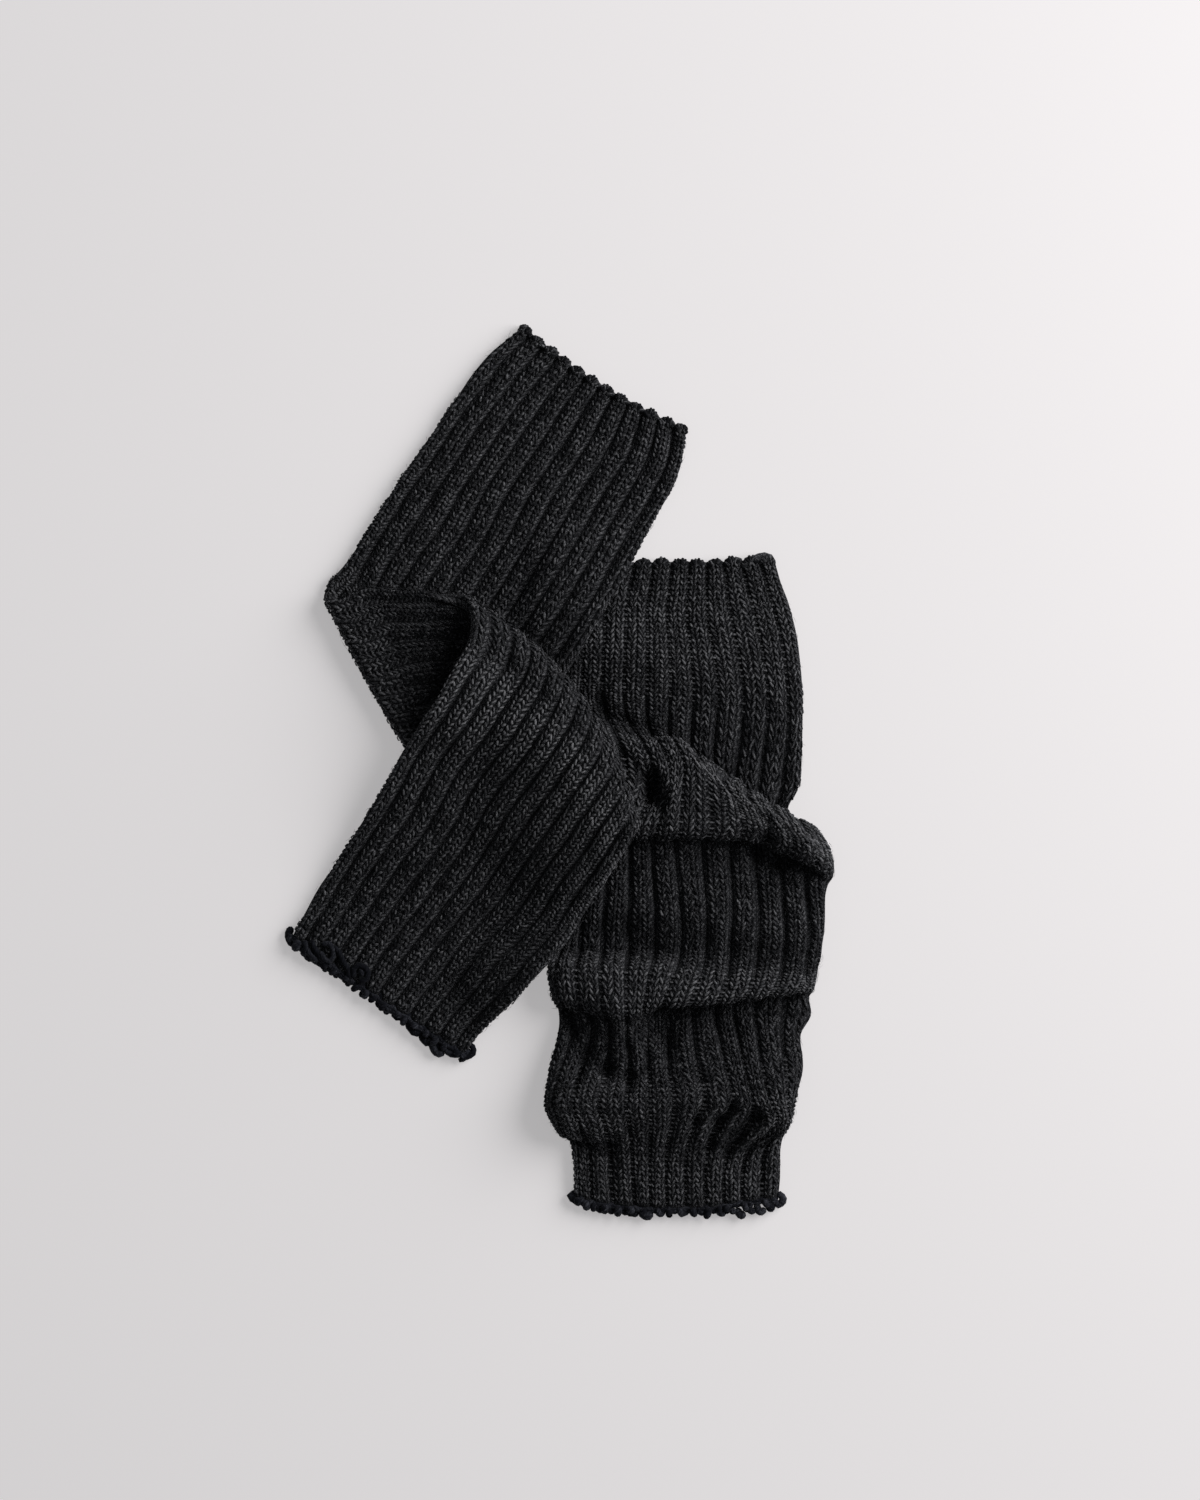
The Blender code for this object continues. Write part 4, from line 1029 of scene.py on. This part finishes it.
def tube_wall(name, outer, inner, wales, courses):
    """A closed wall between a detailed outer grid of rings and a plain inner one, each ring closed up."""
    mesh = bmesh.new()
    mesh.loops.layers.uv.new("knit")
    for points in (outer, inner[:, ::-1]):
        rows, columns = points.shape[0] - 1, points.shape[1] - 1
        made = bmesh.ops.create_grid(mesh, x_segments=columns, y_segments=rows, size=0.5)["verts"]
        set_grid(mesh, made, points * MM)
        rims = [vert for vert in made if vert.is_boundary]
        bmesh.ops.remove_doubles(mesh, verts=rims, dist=1e-7)
    edges = [edge for edge in mesh.edges if edge.is_boundary]
    first = [edge for edge in edges if near_row(edge, outer[0], inner[0])]
    last = [edge for edge in edges if edge not in set(first)]
    for rim in (first, last):
        bmesh.ops.bridge_loops(mesh, edges=rim)
    bmesh.ops.recalc_face_normals(mesh, faces=mesh.faces[:])
    if mesh.calc_volume(signed=True) < 0:
        bmesh.ops.reverse_faces(mesh, faces=mesh.faces[:])
    knit = mesh.loops.layers.uv["knit"]
    for face in mesh.faces:
        for loop in face.loops:
            uv = loop[knit].uv
            loop[knit].uv = (uv[0] * wales, uv[1] * courses)
    return finished(name, mesh)


ON_ROW = 0.01


def near_row(edge, outer, inner):
    """Whether an edge lies on one of the two given rings."""
    middle = np.array(edge.verts[0].co) / MM
    return min(
        np.linalg.norm(outer - middle, axis=1).min(),
        np.linalg.norm(inner - middle, axis=1).min(),
    ) < ON_ROW


def placed(name, data):
    """A new object in the scene, of a mesh, a lamp or a camera."""
    made = bpy.data.objects.new(name, data)
    bpy.context.scene.collection.objects.link(made)
    return made


def finished(name, mesh):
    """A smooth-shaded object from a bmesh."""
    data = bpy.data.meshes.new(name)
    mesh.to_mesh(data)
    mesh.free()
    data.shade_smooth()
    return placed(name, data)


def grain(sides, rings):
    """A ball cut into rings: each point's ring, from 0 at one tip, and its angle round, and the faces."""
    mesh = bmesh.new()
    bmesh.ops.create_uvsphere(mesh, u_segments=sides, v_segments=rings + 1, radius=1)
    spots = np.array([vert.co[:] for vert in mesh.verts])
    levels = np.unique(spots[:, 2].round(4))
    ring = np.array([int(np.argmin(np.abs(levels - z))) for z in spots[:, 2]])
    angle = np.arctan2(spots[:, 1], spots[:, 0])
    faces = [[vert.index for vert in face.verts] for face in mesh.faces]
    mesh.free()
    return ring, angle, faces


# The yarn attribute: how fast the wool goes on along a yarn, how its plies turn round and along it, and how
# far the next yarn's wool and plies are from its own
YARN_ALONG, PLY_ROUND, PLY_TWIST = 0.5, 1.5, 0.9
NEXT_YARN, NEXT_PLY = 7.31, 0.37


def strands(name, path, side, out, wide, tall, tone, sides=4):
    """Many short strands as one mesh, each a ball drawn out along its own path.

    path, side and out are a point and two directions for each strand and each ring of it, tips included, in
    millimetres. wide and tall are half its width along side and half its height along out.
    """
    count, rings = path.shape[:2]
    ring, angle, faces = grain(sides, rings - 2)
    round_it = side[:, ring] * (wide[:, ring] * np.cos(angle))[..., None]
    points = path[:, ring] + round_it + out[:, ring] * (tall[:, ring] * np.sin(angle))[..., None]
    points[..., 2] = np.maximum(points[..., 2], FLOOR_CLEAR)
    starts = np.arange(count)[:, None] * len(ring)
    corners = [(np.array(face)[None] + starts).tolist() for face in faces]
    data = bpy.data.meshes.new(name)
    data.from_pydata((points.reshape(-1, 3) * MM).tolist(), [], [face for group in corners for face in group])
    steps = np.linalg.norm(np.diff(path, axis=1), axis=-1)
    along = np.concatenate([np.zeros((count, 1)), np.cumsum(steps, axis=1)], axis=1)[:, ring]
    mark = data.attributes.new("yarn", "FLOAT_VECTOR", "POINT")
    offset = np.arange(count)[:, None] * NEXT_YARN
    ply = angle[None] * PLY_ROUND + along * PLY_TWIST + offset * NEXT_PLY
    yarn = np.stack([along * YARN_ALONG + offset, ply, np.repeat(tone[:, None], len(ring), 1)], axis=-1)
    mark.data.foreach_set("vector", yarn.astype(np.float32).ravel())
    data.shade_smooth()
    data.update()
    return placed(name, data)


def dress(piece, material):
    """Gives a piece its material and its body."""
    piece.data.materials.append(bpy.data.materials[material])
    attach(piece, "root")
    return piece


# ---------------------------------------------------------------- settings


class LegWarmerKnit(bpy.types.PropertyGroup):
    """The yarn and gauge of the knit."""

    course: bpy.props.FloatProperty(
        name="Course", description="Height of one row of stitches", default=3.2 * MM, unit="LENGTH"
    )
    groove: bpy.props.FloatProperty(
        name="Groove", description="Depth of the groove between two ribs", default=3.3 * MM, unit="LENGTH"
    )
    fibre: bpy.props.FloatProperty(
        name="Fibre", description="Length of the loose fibres", default=5.0 * MM, unit="LENGTH"
    )
    dark: bpy.props.FloatVectorProperty(
        name="Dark wool", description="Darkest wool in the yarn", subtype="COLOR",
        default=(0.005, 0.0054, 0.0066),
    )
    main: bpy.props.FloatVectorProperty(
        name="Main wool", description="Main colour of the yarn", subtype="COLOR",
        default=(0.0385, 0.04, 0.0445),
    )
    light: bpy.props.FloatVectorProperty(
        name="Light wool", description="Lightest wool in the yarn", subtype="COLOR",
        default=(0.235, 0.24, 0.252),
    )


class LegWarmerStudio(bpy.types.PropertyGroup):
    """The table, the light and the camera."""

    table_colour: bpy.props.FloatVectorProperty(
        name="Table", description="Colour of the table", subtype="COLOR", default=(0.70, 0.685, 0.691)
    )
    # The table's glow is painted light: the table shines by itself though it is no lamp, lifting the shadows on
    # it and lighting the cloth from below.
    shadow_lifting_table_glow: bpy.props.FloatProperty(
        name="Table glow", description="How strongly the table, a light table, shines by itself", default=0.53
    )
    key_power: bpy.props.FloatProperty(
        name="Key light", description="Power of the key light in watts", default=68.0
    )
    fill: bpy.props.FloatProperty(
        name="Fill", description="Strength of the light from all round", default=0.11
    )
    frame_height: bpy.props.FloatProperty(
        name="Frame", description="Length of the table that the picture shows", default=0.870, unit="LENGTH"
    )


# ---------------------------------------------------------------- operators


class LEGWARMER_OT_materials(bpy.types.Operator):
    """Makes the wool materials."""

    bl_idname = "legwarmer.materials"
    bl_label = "Wool"

    def execute(self, context):
        knit = context.scene.leg_warmer_knit
        melange_group()
        knit_group()
        tint = (tuple(knit.dark), tuple(knit.main), tuple(knit.light))
        cloth_material("charcoal_rib_cloth", tint)
        yarn_material("charcoal_melange_yarn", tint, 0.0)
        yarn_material("dark_edging_yarn", EDGING_TINT, -0.1)
        yarn_material("rib_end_yarn", tint, -0.35)
        yarn_material("pale_fibre", FIBRE_TINT, 0.3)
        return {"FINISHED"}


class LEGWARMER_OT_cloth(bpy.types.Operator):
    """Knits the walls of the two tubes, ribbed outside and plain inside."""

    bl_idname = "legwarmer.cloth"
    bl_label = "Tubes"

    def execute(self, context):
        knit = context.scene.leg_warmer_knit
        for name, skin in SKINS.items():
            rows = round(skin.length / CLOTH_STEP)
            along = np.linspace(0, skin.length, rows + 1)[:, None]
            ribs = np.arange(skin.last_rib * RIB_COLUMNS + 1) / RIB_COLUMNS
            point, out = skin.ribbed(ribs[None], along, knit.groove / MM)
            outer = point - out * BACKING
            if skin.last_rib < RIBS_ROUND:
                low = skin.last_rib + np.arange(UNDERSIDE_COLUMNS + 1) / LAY_COLUMNS
                outer = np.concatenate([outer[:, :-1], skin.at(low[None], along)[0]], axis=1)
            outer[..., 2] = np.maximum(outer[..., 2], FLOOR_CLEAR)
            outer[:, -1] = outer[:, 0]
            plain = skin.inner[::PLAIN_STEP, ::PLAIN_STEP]
            if len(skin.inner) % PLAIN_STEP != 1:
                plain = np.concatenate([plain, skin.inner[-1:, ::PLAIN_STEP]])
            plain = np.concatenate([plain, plain[:, :1]], axis=1)
            courses = skin.length / (knit.course / MM)
            piece = tube_wall(f"{name}_rib_knit", outer, plain, 2 * RIBS_ROUND, courses)
            dress(piece, "charcoal_rib_cloth")
            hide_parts(f"{name}_tube")
        return {"FINISHED"}


class LEGWARMER_OT_stitches(bpy.types.Operator):
    """Raises each stitch's two legs over the cloth, where it can be seen."""

    bl_idname = "legwarmer.stitches"
    bl_label = "Stitches"

    def execute(self, context):
        knit = context.scene.leg_warmer_knit
        course = knit.course / MM
        for name, skin in SKINS.items():
            rng = np.random.default_rng(7)
            rows = int(skin.length / course)
            wales = (np.arange(skin.last_rib)[:, None] + WALE_SHARES).ravel()
            rib, row = np.meshgrid(wales, (np.arange(rows) + 0.5) * course)
            rib, row = rib.ravel(), row.ravel()
            spot, out = skin.at(rib, row)
            shown = (out[:, 2] > TURNED_AWAY) & (spot[:, 2] > LOW_DOWN) & open_to_view(spot, out)
            rib, row = rib[shown], row[shown]
            groove = knit.groove / MM
            pieces = [leg_paths(skin, rib, row, hand, course, groove, rng) for hand in (-1, 1)]
            shallow = (rib % 1 < 0.5) & (np.interp(row, skin.places, skin.grooves) < SHALLOW)
            pieces.append(purl_paths(skin, np.floor(rib[shallow]), row[shallow], groove, rng))
            path, side, out, wide, tall, tone = [np.concatenate(part) for part in zip(*pieces)]
            places = np.concatenate([row, row, row[shallow]])
            # Painted light and shade: the stitches' wool is painted lighter on raised parts that face the light
            # and darker in hollows and under folds.
            tone = tone + PAINTED_SHADING_TONE * (np.interp(places, skin.places, skin.painted_shadings) - 1)
            piece = strands(f"{name}_stitches", path, side, out, wide, tall, tone)
            dress(piece, "charcoal_melange_yarn")
        return {"FINISHED"}


def open_to_view(spot, out):
    """Whether nothing lies close over places of the cloth."""
    found = np.ones(len(spot), bool)
    trees = []
    for piece in (bpy.data.objects["folded_rib_knit"], bpy.data.objects["bunched_rib_knit"]):
        mesh = bmesh.new()
        mesh.from_mesh(piece.data)
        trees.append(BVHTree.FromBMesh(mesh))
        mesh.free()
    for k, (place, way) in enumerate(zip(spot, out)):
        start = Vector((place + way * COVER_FROM) * MM)
        for tree in trees:
            if tree.ray_cast(start, Vector(way), COVER * MM)[0] is not None:
                found[k] = False
    return found


def leg_paths(skin, rib, row, hand, course, groove, rng):
    """The left or right legs of stitches: paths, directions, half sizes and tones for strands()."""
    count = len(rib)
    leg = table(LEG_ROWS, YARN_COLUMNS)
    loose = rng.uniform(-1, 1, (5, count, 1))
    x = hand * leg["aside"] * (1 + LEG_LOOSE["aside"] * loose[0]) + LEG_LOOSE["place"] * loose[1]
    y = leg["ahead"] * course * (1 + LEG_LOOSE["ahead"] * loose[2]) + LEG_LOOSE["row"] * loose[3]
    along = np.clip(row[:, None] + y, 0, skin.length)
    share = (rib % 1)[:, None] + x / RIB_PITCH - 0.5
    deep = np.interp(row, skin.places, skin.grooves)[:, None]
    share = 0.5 + share * (1 + LEG_SPREAD * np.clip(1 - deep, DRAWN_IN, 1))
    point, out = skin.leaning(np.floor(rib)[:, None] + share, along, groove)
    steep = 1 - np.clip(out[..., 2], 0, 1)
    path = point + out * (leg["lift"] + LEG_LOOSE["lift"] * loose[4] - LEG_SINK * steep)[..., None]
    ways = unit(np.gradient(path, axis=1))
    side = unit(np.cross(ways, out))
    size = 1 + LEG_LOOSE["size"] * rng.uniform(-1, 1, count)[:, None]
    tall = leg["tall"] * size * (1 - LEG_FLATTER * steep)
    return path, side, out, leg["wide"] * size, tall, rng.uniform(0, 1, count)


def purl_paths(skin, rib, row, groove, rng):
    """The purl bumps down in the grooves: paths, directions, half sizes and tones for strands()."""
    count = len(rib)
    bump = table(PURL_ROWS, YARN_COLUMNS)
    loose = rng.uniform(-1, 1, (3, count, 1))
    share = bump["aside"] * (1 + PURL_LOOSE["aside"] * loose[0])
    along = np.clip(row[:, None] + bump["ahead"] + PURL_LOOSE["row"] * loose[1], 0, skin.length)
    point, out = skin.ribbed(rib[:, None] + share, along, groove)
    path = point + out * (bump["lift"] + PURL_LOOSE["lift"] * loose[2])[..., None]
    side = unit(np.cross(unit(np.gradient(path, axis=1)), out))
    half = bump["wide"] * (1 + PURL_LOOSE["aside"] * loose[0])
    return path, side, out, half, half, rng.uniform(0, 1, count)


def cord_shapes(cords, rng):
    """Curves through points, evenly ringed and rounded at both ends, ready for strands().

    cords has the points of each and half its thickness.
    """
    paths, halves = [], []
    for points, half in cords:
        points = np.array(points, float)
        place = run_along(points)
        line = smooth_line(points, place, np.linspace(0, place[-1], CORD_SAMPLES * len(points)))
        length = run_along(line)
        total = length[-1]
        tip = min(TIP, half / total)
        middle = np.linspace(tip, 1 - tip, CORD_RINGS - 4)
        stops = np.concatenate([[0, TIP_RING * tip], middle, [1 - TIP_RING * tip, 1]]) * total
        paths.append(np.column_stack([np.interp(stops, length, line[:, axis]) for axis in range(3)]))
        lumps = 1 + CORD_LUMPS * rng.uniform(-1, 1, len(middle))
        halves.append(half * np.concatenate([[0, TIP_HALF], lumps, [TIP_HALF, 0]]))
    path, wide = np.array(paths), np.array(halves)
    ways = unit(np.gradient(path, axis=1))
    side = unit(np.cross(ways, (0.0, 0.0, 1.0)))
    return path, side, unit(np.cross(side, ways)), wide, wide * CORD_FLAT, rng.uniform(0, 1, len(path))


def run_along(points):
    """How far along a line each of its points is."""
    return np.concatenate([[0], np.cumsum(np.linalg.norm(np.diff(points, axis=0), axis=1))])


def smooth_line(points, place, stops):
    """Places on the smooth curve through points, at stops along it."""
    slopes = np.gradient(points, place, axis=0)
    k = np.clip(np.searchsorted(place, stops, side="right") - 1, 0, len(place) - 2)
    step = (place[k + 1] - place[k])[:, None]
    share = (stops - place[k])[:, None] / step
    return curve(points[k], points[k + 1], slopes[k] * step, slopes[k + 1] * step, share)


def hem_place(skin, ribs, end, ahead, lift):
    """Places off a hem: that far ahead of it and that far out of the cloth, in millimetres."""
    edge, before = (0.0, BEFORE_HEM) if end == "top" else (skin.length, skin.length - BEFORE_HEM)
    ribs = np.asarray(ribs, float)
    point = skin.read(skin.points, ribs, np.full(ribs.shape, edge))
    way = unit(point - skin.read(skin.points, ribs, np.full(ribs.shape, before)))
    out = unit(skin.read(skin.outs, ribs, np.full(ribs.shape, edge)))
    return point + way * np.asarray(ahead)[..., None] + out * np.asarray(lift)[..., None]


def scallops(skin, rng):
    """The rounded end of each rib at a top hem: a fan of short lengths of yarn over an arc of it."""
    cords = []
    half_round = skin.last_rib // 2
    for rib in range(skin.last_rib):
        corner = SCALLOP_CORNER if rib in (0, half_round - 1, half_round, skin.last_rib - 1) else 1.0
        tall = corner * rng.uniform(*SCALLOP_TALL)
        middle = rib + 0.5 + FAN_LOOSE["middle"] * rng.uniform(-1, 1)
        turn = np.linspace(0, math.pi, ARC_POINTS)
        ahead = ARC_START + tall * np.sin(turn) ** SCALLOP_BLUNT
        arc = hem_place(skin, middle - ARC_RIBS * np.cos(turn), "top", ahead, ARC_LIFT + 0 * turn)
        cords.append((arc, ARC_HALF))
        turns = np.linspace(FAN_FROM, FAN_TO, FAN_COUNT) * math.pi
        for angle in turns + FAN_LOOSE["turn"] * rng.uniform(-1, 1, FAN_COUNT):
            reach = np.array(FAN_REACH) * (1 + FAN_LOOSE["reach"] * rng.uniform(-1, 1))
            ribs = middle - FAN_RIBS * reach * math.cos(angle)
            ahead = FAN_START + (tall + FAN_TALLER) * reach * math.sin(angle) ** SCALLOP_BLUNT
            lift = np.array(FAN_LIFT) + FAN_LOOSE["lift"] * rng.uniform(-1, 1)
            cords.append((hem_place(skin, ribs, "top", ahead, lift), rng.uniform(*FAN_HALF)))
    return cords


def hem_rope(skin, end, rng, half, start):
    """The yarn that closes a hem, as short lengths end to end."""
    cords = []
    pieces = skin.last_rib * 2
    for k in range(pieces):
        ribs = (k + np.array(ROPE_RIBS)) * skin.last_rib / pieces
        ribs = np.clip(ribs, 0, skin.last_rib) if skin.last_rib < RIBS_ROUND else ribs % RIBS_ROUND
        ahead = start + rng.uniform(*ROPE_LOOSE) + np.array(ROPE_AHEAD)
        cords.append((hem_place(skin, ribs, end, ahead, ROPE_LIFT), half))
    return cords


def hem_knobs(skin, rng):
    """The small curled knobs of edging yarn that stand off a bottom hem all along it."""
    cords = []
    for k in range(KNOBS * skin.last_rib // KNOBS_ON):
        rib = (k + KNOB_LOOSE["rib"] * rng.uniform(-1, 1)) * KNOBS_ON / KNOBS % skin.last_rib
        lean = KNOB_LEAN * rng.uniform(-1, 1)
        long = rng.uniform(*KNOB_LONG)
        ribs = np.clip(rib + lean * np.array(KNOB_RIBS), 0, skin.last_rib)
        lift = np.array(KNOB_LIFT) + KNOB_LOOSE["lift"] * rng.uniform(-1, 1)
        knob = hem_place(skin, ribs, "bottom", np.array(KNOB_AHEAD) * long, lift)
        cords.append((knob, rng.uniform(*KNOB_HALF)))
    return cords


class LEGWARMER_OT_edgings(bpy.types.Operator):
    """Closes the hems with their darker edging yarn: scallops at the top, curls and knobs at the bottom."""

    bl_idname = "legwarmer.edgings"
    bl_label = "Edgings"

    def execute(self, context):
        for name, skin in SKINS.items():
            rng = np.random.default_rng(11)
            hems = {"top": scallops(skin, rng), "bottom": []}
            for end, ropes in ROPES.items():
                for rope in ropes:
                    hems[end] += hem_rope(skin, end, rng, *rope)
            hems["bottom"] += hem_knobs(skin, rng)
            for end, wool in (("top", "rib_end_yarn"), ("bottom", "dark_edging_yarn")):
                curls = []
                for _, half, high, *places in CURLS[name, end]:
                    curls.append(([(*place, high) for place in places], half))
                piece = strands(f"{name}_{end}_edging", *cord_shapes(curls + hems[end], rng), sides=8)
                dress(piece, wool)
                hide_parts(f"{name}_{end}_edge")
        return {"FINISHED"}


class LEGWARMER_OT_fibres(bpy.types.Operator):
    """Lets loose fibres stand off the cloth wherever it shows."""

    bl_idname = "legwarmer.fibres"
    bl_label = "Fibres"

    def execute(self, context):
        knit = context.scene.leg_warmer_knit
        for name, skin in SKINS.items():
            rng = np.random.default_rng(5)
            rib = rng.uniform(0, skin.last_rib, FIBRE_TRIES)
            row = rng.uniform(0, skin.length, FIBRE_TRIES)
            spot, out = skin.leaning(rib, row, knit.groove / MM)
            shown = (out[:, 2] > FIBRE_TURNED_AWAY) & (spot[:, 2] > LOW_DOWN) & open_to_view(spot, out)
            spot, out = spot[shown][:FIBRES], out[shown][:FIBRES]
            path, side, up = fibre_paths(spot, out, knit.fibre / MM, rng)
            half = np.array(FIBRE_HALF) * rng.uniform(*FIBRE_UNEVEN, (len(path), 1))
            tone = rng.uniform(0, 1, len(path))
            piece = strands(f"{name}_fibres", path, side, up, half, half, tone, sides=3)
            dress(piece, "pale_fibre")
        return {"FINISHED"}


def fibre_paths(spot, out, length, rng):
    """Bent paths for loose fibres from places on the cloth, with directions for strands()."""
    count = len(spot)
    loose = unit(rng.normal(size=(count, 3)))
    along = unit(loose - (loose * out).sum(1, keepdims=True) * out)
    bend = unit(np.cross(along, out)) * rng.uniform(-FIBRE_BEND, FIBRE_BEND, (count, 1))
    long = length * rng.uniform(*FIBRE_LONG, (count, 1, 1))
    share = np.array(FIBRE_SHARES)[None, :, None]
    stand = rng.uniform(*FIBRE_STAND, (count, 1, 1))
    rise = FIBRE_RISE + long * stand * share * (FIBRE_ARCH - share)
    path = spot[:, None] + along[:, None] * long * (share - FIBRE_BACK) + bend[:, None] * long * share**2
    path = path + out[:, None] * rise
    ways = unit(np.gradient(path, axis=1))
    side = unit(np.cross(ways, out[:, None] + 0 * ways))
    return path, side, unit(np.cross(side, ways))


class LEGWARMER_OT_stage(bpy.types.Operator):
    """Sets the table, the light and the camera."""

    bl_idname = "legwarmer.stage"
    bl_label = "Studio"

    def execute(self, context):
        studio = context.scene.leg_warmer_studio
        mesh = bmesh.new()
        bmesh.ops.create_grid(mesh, x_segments=8, y_segments=8, size=TABLE_HALF)
        floor = finished("table", mesh)
        colour = (*studio.table_colour, 1)
        # The table glows in its own colour, painted light that lifts the shadows on it; it is no lamp.
        looks = {"Base Color": colour, "Roughness": 0.8, "Specular IOR Level": 0.2, "Emission Color": colour}
        painted("pale_table", {**looks, "Emission Strength": studio.shadow_lifting_table_glow})
        floor.data.materials.append(bpy.data.materials["pale_table"])
        lamp = bpy.data.lights.new("key", "AREA")
        lamp.shape = "DISK"
        lamp.size = KEY_SIZE
        lamp.energy = studio.key_power
        lamp.color = KEY_COLOUR
        key = placed("key", lamp)
        key.location = KEY_PLACE
        key.rotation_euler = (-key.location).to_track_quat("-Z", "Y").to_euler()
        sky = bpy.data.worlds.new("soft_light")
        sky.use_nodes = True
        back = sky.node_tree.nodes["Background"]
        back.inputs["Color"].default_value = (*FILL_COLOUR, 1)
        back.inputs["Strength"].default_value = studio.fill
        context.scene.world = sky
        eye = bpy.data.cameras.new("overhead")
        eye.lens = LENS
        camera = placed("overhead", eye)
        camera.location = (*FRAME_MIDDLE, studio.frame_height * eye.lens / eye.sensor_width)
        context.scene.camera = camera
        context.scene.view_settings.view_transform = "Standard"
        return {"FINISHED"}


class LEGWARMER_PT_panel(bpy.types.Panel):
    """Lists the steps that make the pair."""

    bl_idname = "LEGWARMER_PT_panel"
    bl_label = "Leg warmers"
    bl_space_type = "VIEW_3D"
    bl_region_type = "UI"
    bl_category = "Leg warmers"

    def draw(self, context):
        layout = self.layout
        for group in (context.scene.leg_warmer_knit, context.scene.leg_warmer_studio):
            for name in group.__annotations__:
                layout.prop(group, name)
        for step in STEPS:
            layout.operator(step.bl_idname)


STEPS = (
    LEGWARMER_OT_materials,
    LEGWARMER_OT_cloth,
    LEGWARMER_OT_stitches,
    LEGWARMER_OT_edgings,
    LEGWARMER_OT_fibres,
    LEGWARMER_OT_stage,
)
CLASSES = (LegWarmerKnit, LegWarmerStudio, *STEPS, LEGWARMER_PT_panel)


def register():
    """Adds the classes and the scene's settings."""
    for each in CLASSES:
        bpy.utils.register_class(each)
    bpy.types.Scene.leg_warmer_knit = bpy.props.PointerProperty(type=LegWarmerKnit)
    bpy.types.Scene.leg_warmer_studio = bpy.props.PointerProperty(type=LegWarmerStudio)


def unregister():
    """Takes them away again."""
    del bpy.types.Scene.leg_warmer_studio
    del bpy.types.Scene.leg_warmer_knit
    for each in reversed(CLASSES):
        bpy.utils.unregister_class(each)


def main():
    """Makes the pair and its studio."""
    register()
    bpy.ops.legwarmer.materials()
    bpy.ops.legwarmer.cloth()
    bpy.ops.legwarmer.stitches()
    bpy.ops.legwarmer.edgings()
    bpy.ops.legwarmer.fibres()
    bpy.ops.legwarmer.stage()
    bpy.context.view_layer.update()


if __name__ == "__main__":
    main()
